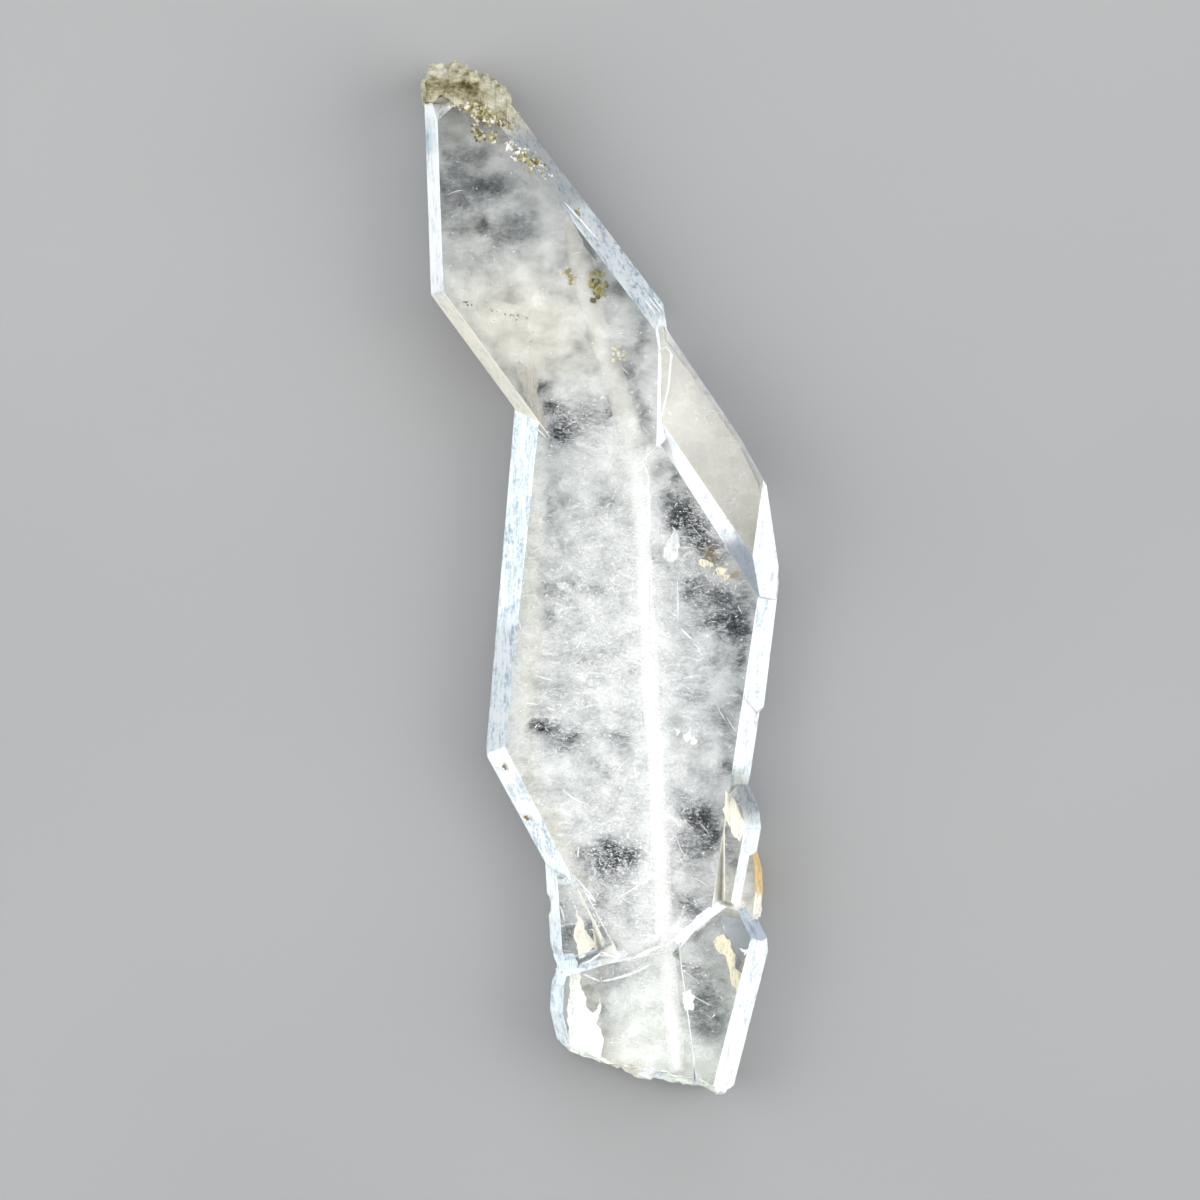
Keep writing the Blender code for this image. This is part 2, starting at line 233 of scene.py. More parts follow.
def line_group(name, stretch, turn, detail, bend, width):
    """Thin curved lines: 1 on the middle level of a noise, falling off quickly to 0."""
    group, waves = noise_group(name, stretch, turn, detail, 0.5, bend)
    off_level = calc(group, "ABSOLUTE", calc(group, "SUBTRACT", waves, 0.5))
    node(group, "NodeGroupOutput", {"Pattern": spread(group, off_level, width, 0.0)})
    return group


FLECKS = grain_group("crosswise_flecks", (1.0, 1.6, 1.0), 0.35, 3.0, 0.78, 0.0)
CLOUDS = grain_group("soft_clouds", (1.0, 1.2, 1.0), 0.2, 2.0, 0.5, 0.0)
STREAKS = grain_group("growth_streaks", (2.6, 0.45, 1.4), 0.25, 3.0, 0.64, 0.9)
STRANDS = line_group("curved_strands", (0.55, 1.5, 1.0), 0.7, 2.0, 0.4, 0.022)
FISSURES = line_group("crumpled_fissures", (1.0, 1.45, 1.0), 0.35, 3.0, 0.0, 0.050)
PATTERNS = (FLECKS, CLOUDS, STREAKS, STRANDS, FISSURES)


def pattern(tree, group, grain):
    """Place a pattern group in a material."""
    return node(tree, "ShaderNodeGroup", {"Grain": grain}, node_tree=group).outputs["Pattern"]


print("pattern groups:", [group.name for group in PATTERNS])

# %% [markdown]
# The table is one large pale face. It lies a hair under the crystal's flat back, so that the two
# never share a plane, and it is marked as stage because it isn't part of the specimen.

# %% Table
TABLE_SIZE = 3000.0
TABLE_GAP = 0.02
TABLE_GRAIN = 0.02
TABLE_TONES = [(0.0, (0.350, 0.352, 0.355)), (1.0, (0.372, 0.374, 0.376))]


def add_piece(name, bm, material, smooth=False):
    """Turn a finished bmesh into an object of the scene."""
    data = bpy.data.meshes.new(name)
    bm.to_mesh(data)
    bm.free()
    if smooth:
        data.shade_smooth()
    item = bpy.data.objects.new(name, data)
    if material:
        data.materials.append(material)
    scene.collection.objects.link(item)
    return item


def table_material():
    material, tree, output = new_material("pale_table")
    shade = ramp(tree, pattern(tree, CLOUDS, TABLE_GRAIN), TABLE_TONES)
    finish(tree, output, principled(tree, {"Base Color": shade, "Roughness": 0.85}))
    return material


bm = bmesh.new()
bmesh.ops.create_grid(bm, x_segments=1, y_segments=1, size=TABLE_SIZE / 2 * MM)
bmesh.ops.translate(bm, verts=bm.verts[:], vec=(0.0, 0.0, -TABLE_GAP * MM))
table = add_piece("table", bm, table_material())
table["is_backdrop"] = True

# %% [markdown]
# Two soft boxes at the sides light the slanted prism faces, two higher up light what is inside the
# crystal, and a weak one stands past its tip. Nothing hangs straight above it: the flat front faces
# would mirror it into the camera and lay a grey haze over the dark places. A pale world fills in.

# %% Light
SOFT_BOXES = {
    # name: (place, width, height, watts), in millimetres and watts
    "high_left_box": ((-470.0, 60.0, 800.0), 460.0, 900.0, 1.95),
    "high_right_box": ((470.0, 60.0, 800.0), 460.0, 900.0, 1.95),
    "left_box": ((-520.0, 40.0, 330.0), 620.0, 480.0, 2.3),
    "right_box": ((520.0, 0.0, 330.0), 620.0, 480.0, 2.3),
    "far_box": ((60.0, 560.0, 300.0), 520.0, 360.0, 0.9),
}
ROOM_COLOUR = (0.97, 0.98, 1.0, 1.0)
ROOM_STRENGTH = 0.40
SHEETS_SEEN_THROUGH = 16


def soft_box(name, place, width, height, watts):
    data = bpy.data.lights.new(name, "AREA")
    data.shape = "RECTANGLE"
    data.size = width * MM
    data.size_y = height * MM
    data.energy = watts
    lamp = bpy.data.objects.new(name, data)
    lamp.location = Vector(place) * MM
    lamp.rotation_euler = (-Vector(place)).to_track_quat("-Z", "Y").to_euler()
    lamp.visible_camera = False
    scene.collection.objects.link(lamp)


for name, (place, width, height, watts) in SOFT_BOXES.items():
    soft_box(name, place, width, height, watts)

world = bpy.data.worlds.new("pale_room")
world.use_nodes = True
room = world.node_tree.nodes["Background"]
room.inputs["Color"].default_value = ROOM_COLOUR
room.inputs["Strength"].default_value = ROOM_STRENGTH
scene.world = world
scene.view_settings.view_transform = "Standard"
scene.cycles.transparent_max_bounces = SHEETS_SEEN_THROUGH
print("soft boxes:", list(SOFT_BOXES))

# %% [markdown]
# ## The clear quartz
#
# Each crystal is a flat tablet with bevelled sides, and the tablets grew into one another. The
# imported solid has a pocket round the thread, but the real quartz has none: the thread is sealed in
# it. So the clear body is grown again from the same outlines, without the pocket, and takes the
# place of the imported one. Every crystal is a block that is cut down one plane at a time, and
# Boolean unions join them. Crystal edges are sharp, so they get no bevel.
#
# An outline's corner is (x, y, front bevel, back bevel) at the widest level, clockwise from above.

# %% Outlines of the crystals, in millimetres
BACK = 0.0
GIRDLE = 2.4
FRONT = 4.7
PRISM_SLOPE = 0.58
BLOCK_SIZE = 200.0

MIDDLE_CRYSTAL = {
    "outline": [
        (-5.71, 12.04, 0.20, 0.20), (2.72, 13.40, 0.20, 0.20), (6.80, 12.04, 0.20, 0.20),
        (11.70, 3.88, 0.60, 0.60), (12.17, -0.41, 1.30, 1.30), (10.13, -14.14, 0.25, 1.00),
        (8.84, -21.96, 0.60, 0.80), (4.90, -26.40, 0.50, 0.50), (0.00, -26.20, 0.60, 0.80),
        (-3.74, -19.45, 1.50, 1.50), (-7.68, -12.24, 1.00, 1.00), (-7.75, -11.56, 1.40, 1.30),
    ],
    "front": FRONT, "girdle": GIRDLE, "back": BACK,
}
TOP_CRYSTAL = {
    "outline": [
        (-11.95, 32.65, 0.40, 0.60), (-6.00, 32.10, 1.60, 1.30), (4.28, 18.63, 0.80, 0.60),
        (5.58, 10.40, 0.15, 0.50), (3.06, 7.55, 0.15, 0.50), (-1.90, 8.30, 0.15, 0.50),
        (-4.56, 10.00, 0.15, 0.50), (-5.78, 11.42, 0.75, 1.20), (-11.49, 19.18, 0.88, 0.90),
    ],
    "front": 6.2, "girdle": 2.9, "back": 0.5,
    "facets": [((4.01, 17.34), (3.84, 8.84), 0.80), ((-10.90, 30.85), (-9.70, 31.95), 1.10)],
}
WING = {
    "outline": [
        (4.35, 17.14, 0.12, 1.40), (9.59, 9.45, 0.15, 1.40), (11.22, 6.53, 0.02, 1.30),
        (12.17, 0.48, 0.02, 1.20), (12.04, -1.56, 0.50, 0.60), (9.45, -1.70, 2.20, 0.80),
        (2.58, 9.04, 0.10, 0.40), (2.72, 16.12, 0.10, 0.40),
    ],
    "front": 6.0, "girdle": 3.0, "back": 0.9, "lean": (0.0, -0.045),
    "facets": [((10.98, 6.05), (10.40, 1.02), PRISM_SLOPE)],
}
THIN_LEDGE = {
    "outline": [
        (3.60, 15.40, 0.20, 0.20), (4.62, 15.78, 0.25, 0.20), (5.20, 14.95, 0.42, 0.20),
        (5.00, 12.60, 0.42, 0.20), (4.55, 10.75, 0.30, 0.20), (3.70, 10.30, 0.20, 0.20),
    ],
    "front": 5.95, "girdle": 5.0, "back": 3.5,
}
LEFT_PLATE = {
    "outline": [
        (-5.78, 11.70, 0.20, 0.20), (-1.70, 12.04, 0.20, 0.20), (3.40, 9.32, 0.12, 0.12),
        (3.62, -19.92, 0.20, 0.20), (1.36, -24.68, 0.20, 0.20), (-0.20, -25.36, 0.60, 0.40),
        (-3.74, -19.38, 1.52, 0.60), (-7.65, -12.17, 1.00, 0.60), (-7.72, -11.49, 1.38, 0.60),
    ],
    "front": 5.4, "girdle": 2.6, "back": 1.2, "lean": (0.0, 0.045), "lean_about": (-2.0, -5.0),
}
RIGHT_LEDGE = {
    "outline": [
        (8.84, -0.88, 0.20, 0.20), (12.14, -0.75, 1.42, 1.10), (11.15, -8.84, 0.60, 0.60),
        (10.68, -9.38, 0.60, 0.60), (8.84, -8.36, 0.20, 0.20),
    ],
    "front": 4.6, "girdle": 2.5, "back": 0.5,
}
SMALL_CRYSTAL = {
    "outline": [
        (8.43, -14.35, 0.50, 0.50), (9.18, -13.74, 0.50, 0.50), (10.13, -14.14, 0.98, 0.80),
        (10.81, -15.71, 1.15, 0.80), (10.95, -17.07, 1.15, 0.80), (10.68, -18.56, 1.10, 0.80),
        (9.79, -23.12, 0.60, 0.60), (8.10, -22.30, 0.30, 0.30), (8.10, -17.00, 0.30, 0.30),
    ],
    "front": 5.15, "girdle": 2.7, "back": 0.6,
}
STAINED_LOBE = {
    "outline": [
        (9.52, -18.56, 0.30, 0.30), (10.68, -18.63, 0.40, 0.40), (11.02, -19.79, 0.50, 0.50),
        (11.08, -21.42, 0.50, 0.50), (10.81, -23.46, 0.40, 0.40), (9.86, -24.00, 0.30, 0.30),
        (9.18, -21.96, 0.20, 0.20),
    ],
    "front": 3.7, "girdle": 2.5, "back": 1.0,
}
LOWER_LEFT_CRYSTAL = {
    "outline": [
        (-3.74, -19.45, 0.50, 0.50), (-1.90, -19.92, 0.60, 0.50), (0.00, -22.30, 0.60, 0.50),
        (0.34, -25.70, 0.60, 0.50), (-2.72, -26.66, 0.60, 0.50), (-3.36, -25.02, 0.75, 0.90),
    ],
    "front": 4.3, "girdle": 2.3, "back": 0.3,
}
FOOT_LEFT = {
    "outline": [
        (-2.99, -26.45, 0.75, 0.60), (0.00, -25.50, 0.75, 0.60), (4.62, -24.55, 0.60, 0.60),
        (7.20, -26.80, 0.60, 0.60), (6.80, -37.24, 0.30, 0.30), (4.28, -37.56, 0.30, 0.30),
        (-2.20, -33.84, 0.50, 0.50), (-2.99, -31.21, 0.80, 0.80), (-3.40, -29.44, 0.85, 0.80),
        (-3.33, -27.74, 0.80, 0.80),
    ],
    "front": 4.95, "girdle": 2.5, "back": 0.35,
}
FOOT_RIGHT = {
    "outline": [
        (5.00, -24.90, 0.40, 0.60), (7.90, -21.50, 0.60, 0.60), (10.20, -22.17, 0.95, 0.70),
        (11.36, -24.55, 0.90, 0.80), (11.42, -25.50, 1.42, 1.20), (8.35, -37.56, 0.40, 0.40),
        (6.70, -37.56, 0.30, 0.40),
    ],
    "front": 5.2, "girdle": 2.7, "back": 0.2,
    "facets": [((5.10, -24.80), (8.00, -22.70), 1.20)],
}
CRYSTALS = [
    MIDDLE_CRYSTAL, TOP_CRYSTAL, WING, THIN_LEDGE, LEFT_PLATE, RIGHT_LEDGE, SMALL_CRYSTAL,
    STAINED_LOBE, LOWER_LEFT_CRYSTAL, FOOT_LEFT, FOOT_RIGHT,
]
print("crystals:", len(CRYSTALS))

# %% [markdown]
# A plane cut is the natural way to make a crystal, because a crystal is just the space between
# its faces. An inset moves every plane inwards by the same amount. That gives a slightly smaller
# body for the things that sit inside, without any guessing.

# %% Cut one crystal
SAME_PLACE = 1e-8
DOUBLES = 1e-6


def everything(bm):
    """All that a plane can cut."""
    return bm.verts[:] + bm.edges[:] + bm.faces[:]


def cut(bm, point, normal, inset):
    """Take away what lies beyond a plane, given in millimetres, and close the cut with a face."""
    square = Vector(normal).normalized()
    result = bmesh.ops.bisect_plane(
        bm, geom=everything(bm), dist=SAME_PLACE,
        plane_co=(Vector(point) - square * inset) * MM, plane_no=square, clear_outer=True,
    )
    rim = [part for part in result["geom_cut"] if isinstance(part, bmesh.types.BMEdge)]
    if rim:
        bmesh.ops.holes_fill(bm, edges=rim, sides=0)


def outward(start, end):
    """Unit direction away from a clockwise outline, square to the edge from start to end."""
    along = Vector((end[0] - start[0], end[1] - start[1]))
    return Vector((-along.y, along.x)).normalized()


def crystal(spec, inset):
    """Cut a block down to one tabular crystal."""
    bm = bmesh.new()
    bmesh.ops.create_cube(bm, size=BLOCK_SIZE * MM)
    corners = spec["outline"]
    girdle = spec["girdle"]
    rise = spec["front"] - girdle
    fall = girdle - spec["back"]
    lean_x, lean_y = spec.get("lean", (0.0, 0.0))
    middle_x = sum(corner[0] for corner in corners) / len(corners)
    middle_y = sum(corner[1] for corner in corners) / len(corners)
    about_x, about_y = spec.get("lean_about", (middle_x, middle_y))

    cut(bm, (about_x, about_y, spec["front"]), (-lean_x, -lean_y, 1.0), inset)
    cut(bm, (about_x, about_y, spec["back"]), (0.0, 0.0, -1.0), inset)
    for corner, following in zip(corners, corners[1:] + corners[:1]):
        side = outward(corner, following)
        place = (corner[0], corner[1], girdle)
        cut(bm, place, (side.x * rise, side.y * rise, corner[2]), inset)
        cut(bm, place, (side.x * fall, side.y * fall, -corner[3]), inset)
    for start, end, width_per_drop in spec.get("facets", []):
        side = outward(start, end)
        level = spec["front"] + lean_x * (start[0] - about_x) + lean_y * (start[1] - about_y)
        cut(bm, (start[0], start[1], level), (side.x, side.y, width_per_drop), inset)
    bmesh.ops.recalc_face_normals(bm, faces=bm.faces[:])
    return bm


# %% [markdown]
# The foot of the group is broken off the rock. Its cutter is a grid whose points are pushed about
# by noise and then drawn out into a thick block. A fresh break in quartz is curved like a shell,
# so the grid also gets a shallow wave. Small balls leave the chips, and a three-cornered prism
# leaves the step beside the thread.

# %% Cutters for the break, the chips and the notch
BREAK_LINE = [(-3.6, -31.0), (-2.5, -31.95), (2.0, -33.5), (5.4, -34.15), (7.9, -34.85), (9.6, -34.5)]
BREAK_DEPTH = 6.0
BREAK_GRAIN = 0.28
BREAK_MARGIN = 2.0
BREAK_TALL = 9.0
BREAK_LOWEST = -1.0
BREAK_ROUGHNESS = [
    # (waves to a millimetre across, waves upwards, layer of the noise, roughness in millimetres)
    (0.55, 0.7, 1.0, 0.55), (1.7, 1.9, 5.0, 0.28), (4.5, 5.0, 9.0, 0.07),
]
SHELL_HEIGHT = 0.25
SHELL_MIDDLE = 2.5
SHELL_CURVE = 0.75
BREAK_SHIFT = 0.22
CHIPS = [
    (-4.05, -22.30, 2.4, 0.85), (-4.05, -26.55, 2.4, 1.15), (12.00, -23.05, 2.6, 1.25),
    (11.75, -9.70, 2.3, 0.95), (-6.45, -12.90, 4.05, 0.30), (-4.95, -16.35, 3.95, 0.28),
]
NOTCH = [(3.95, 8.90), (2.85, 7.80), (3.55, 6.30)]
NOTCH_FLOOR = 4.75
NOTCH_DEPTH = 5.0


def waves(place, stretch):
    """Noise at a place, with so many waves to a millimetre each way."""
    return noise.noise(Vector([part * count for part, count in zip(place, stretch)]))


def level_on(line, x):
    """The y of an open line of (x, y) points at x."""
    for start, end in zip(line, line[1:]):
        if x <= end[0] or end is line[-1]:
            share = (x - start[0]) / (end[0] - start[0])
            return start[1] + (end[1] - start[1]) * share


def draw_out(bm, faces, move):
    """Sweep faces along a move in millimetres, so that they become a closed block."""
    swept = bmesh.ops.extrude_face_region(bm, geom=faces, use_keep_orig=True)
    moved = [part for part in swept["geom"] if isinstance(part, bmesh.types.BMVert)]
    bmesh.ops.translate(bm, verts=moved, vec=Vector(move) * MM)
    bmesh.ops.recalc_face_normals(bm, faces=bm.faces[:])


def break_cutter(inset):
    low = BREAK_LINE[0][0] - BREAK_MARGIN
    high = BREAK_LINE[-1][0] + BREAK_MARGIN
    columns = round((high - low) / BREAK_GRAIN)
    rows = round(BREAK_TALL / BREAK_GRAIN)
    bm = bmesh.new()
    bmesh.ops.create_grid(bm, x_segments=columns, y_segments=rows, size=1.0)
    for vert in bm.verts:
        x = low + (high - low) * (vert.co.x + 1.0) / 2.0
        z = BREAK_TALL * (vert.co.y + 1.0) / 2.0 + BREAK_LOWEST
        rough = sum(
            waves((x, z, 1.0), (across, upwards, layer)) * height
            for across, upwards, layer, height in BREAK_ROUGHNESS
        )
        shell = SHELL_HEIGHT * math.cos((z - SHELL_MIDDLE) * SHELL_CURVE)
        vert.co = Vector((x, level_on(BREAK_LINE, x) + rough - shell + BREAK_SHIFT + inset, z)) * MM
    draw_out(bm, bm.faces[:], (0.0, -BREAK_DEPTH, 0.0))
    return bm


def chip_cutter(place, inset):
    x, y, z, radius = place
    bm = bmesh.new()
    bmesh.ops.create_icosphere(bm, subdivisions=3, radius=(radius + inset) * MM)
    bmesh.ops.translate(bm, verts=bm.verts[:], vec=Vector((x, y, z)) * MM)
    return bm


def notch_cutter(inset):
    bm = bmesh.new()
    corners = [bm.verts.new(Vector((x, y, NOTCH_FLOOR - inset)) * MM) for x, y in NOTCH]
    draw_out(bm, [bm.faces.new(corners)], (0.0, 0.0, NOTCH_DEPTH))
    return bm


# %% Join the crystals
def combine(target, tool, operation):
    step = target.modifiers.new(operation.lower(), "BOOLEAN")
    step.operation = operation
    step.object = tool
    step.solver = "EXACT"


def applied(item, tools):
    """The object's finished mesh as a bmesh. The object and its tools are taken away."""
    graph = bpy.context.evaluated_depsgraph_get()
    data = bpy.data.meshes.new_from_object(item.evaluated_get(graph))
    bm = bmesh.new()
    bm.from_mesh(data)
    bpy.data.meshes.remove(data)
    for spent in [item] + tools:
        bpy.data.objects.remove(spent, do_unlink=True)
    return bm


def grown_body(inset):
    """The whole group as one closed body."""
    body = add_piece("body", crystal(CRYSTALS[0], inset), None)
    tools = [add_piece("grown", crystal(spec, inset), None) for spec in CRYSTALS[1:]]
    for tool in tools:
        combine(body, tool, "UNION")
    takers = [notch_cutter(inset), break_cutter(inset)] + [chip_cutter(chip, inset) for chip in CHIPS]
    for taker in takers:
        tools.append(add_piece("taker", taker, None))
        combine(body, tools[-1], "DIFFERENCE")
    return applied(body, tools)


# %% [markdown]
# Quartz bends light with an index of 1.544. Glass like that can't pass lamplight on to what is
# sealed in it, because a lamp's ray would have to bend exactly right. The usual cure is to let
# shadow rays go straight through: Light Path says which rays those are. The stand-in is a grey, so
# the crystal still throws a soft shadow. A little absorption warms the thick parts.
#
# The veils and films further down use the same short cut, each with a colour of its own. A lamp's
# ray then needn't work out their whole pattern, which saves much time.

# %% Clear quartz material
QUARTZ_INDEX = 1.544
QUARTZ_COLOUR = (0.99, 0.995, 1.0, 1.0)
QUARTZ_SHADOW = (0.93, 0.935, 0.94, 1.0)
QUARTZ_WARMTH = (0.88, 0.87, 0.80, 1.0)
QUARTZ_ABSORPTION = 60.0
RIPPLE_GRAIN = 0.7
RIPPLE_STRENGTH = 0.06
RIPPLE_DEPTH = 0.08


def lamp_short_cut(tree, shader, colour):
    """Let a lamp's rays straight through, dimmed by a colour. All others meet the shader."""
    lamp_way = node(tree, "ShaderNodeBsdfTransparent", {"Color": colour})
    shadow = node(tree, "ShaderNodeLightPath").outputs["Is Shadow Ray"]
    mixed = node(tree, "ShaderNodeMixShader", {0: shadow, 1: shader, 2: lamp_way.outputs["BSDF"]})
    return mixed.outputs["Shader"]


def clear_quartz_material():
    material, tree, output = new_material("clear_quartz")
    ripple = bump(tree, pattern(tree, STREAKS, RIPPLE_GRAIN), RIPPLE_STRENGTH, RIPPLE_DEPTH)
    clear = principled(tree, {
        "Base Color": QUARTZ_COLOUR, "Roughness": 0.015, "Metallic": 0.0,
        "IOR": QUARTZ_INDEX, "Transmission Weight": 1.0, "Normal": ripple,
    })
    finish(tree, output, lamp_short_cut(tree, clear, QUARTZ_SHADOW))
    warmth = {"Color": QUARTZ_WARMTH, "Density": QUARTZ_ABSORPTION}
    haze = node(tree, "ShaderNodeVolumeAbsorption", warmth)
    tree.links.new(haze.outputs["Volume"], output.inputs["Volume"])
    return material


bm = grown_body(0.0)
quartz_tree = BVHTree.FromBMesh(bm)
print("clear quartz: faces", len(bm.faces), "volume, mm3", round(bm.calc_volume() / MM ** 3))
clear_quartz = add_piece("clear_quartz", bm, clear_quartz_material())
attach(clear_quartz, BODY)
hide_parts("quartz")

# %% [markdown]
# ## The veils inside
#
# The quartz is clear, but old cracks in it healed with countless small bubbles. They form veils,
# milky white in one place and clear in the next. Where it is clear the veils are painted dark:
# painted shade that stands in for a dark ground seen through the quartz. A real volume of fog would
# be slow and would blur the fine flecks. Three thin wavy sheets at different depths give the same
# look, keep their depth when the view moves, and take their pattern from a painted attribute and
# noise.
#
# The thread's route comes first, because the quartz is milkiest along it and a painted glow follows
# it. A route point is (x, y, z, radius). Then come the spots: the painted dark windows, the cream
# tints, the brightest white and the parts where the flecks are crisp. A spot is (x, y, half width,
# half height, turn in degrees, strength).

# %% Route of the thread, in millimetres
THREAD_RADIUS = 0.58
THREAD_TOP_RADIUS = 0.78
THREAD_ROUTE = [
    (-1.90, 24.50, 2.9, THREAD_TOP_RADIUS * 0.8), (-1.10, 20.30, 2.9, THREAD_TOP_RADIUS),
    (0.68, 14.30, 2.8, THREAD_TOP_RADIUS), (1.97, 10.00, 2.7, THREAD_TOP_RADIUS),
    (2.60, 7.50, 2.6, THREAD_TOP_RADIUS), (2.92, 3.20, 2.5, THREAD_RADIUS),
    (3.06, -0.90, 2.4, THREAD_RADIUS), (3.33, -4.30, 2.4, THREAD_RADIUS),
    (3.40, -8.00, 2.4, THREAD_RADIUS), (3.74, -11.40, 2.4, THREAD_RADIUS),
    (3.94, -15.70, 2.4, THREAD_RADIUS), (4.22, -20.10, 2.4, THREAD_RADIUS),
    (4.40, -24.50, 2.5, THREAD_RADIUS * 1.1), (4.83, -28.70, 2.6, THREAD_RADIUS),
    (5.24, -33.60, 2.6, THREAD_RADIUS),
]


def thread_at(y):
    """The thread's x, z and radius at a y."""
    y = min(y, THREAD_ROUTE[0][1])
    for start, end in zip(THREAD_ROUTE, THREAD_ROUTE[1:]):
        if y >= end[1] or end is THREAD_ROUTE[-1]:
            share = (y - start[1]) / (end[1] - start[1])
            return tuple(start[part] + (end[part] - start[part]) * share for part in (0, 2, 3))


print("thread's x at the middle, mm:", round(thread_at(0.0)[0], 2))
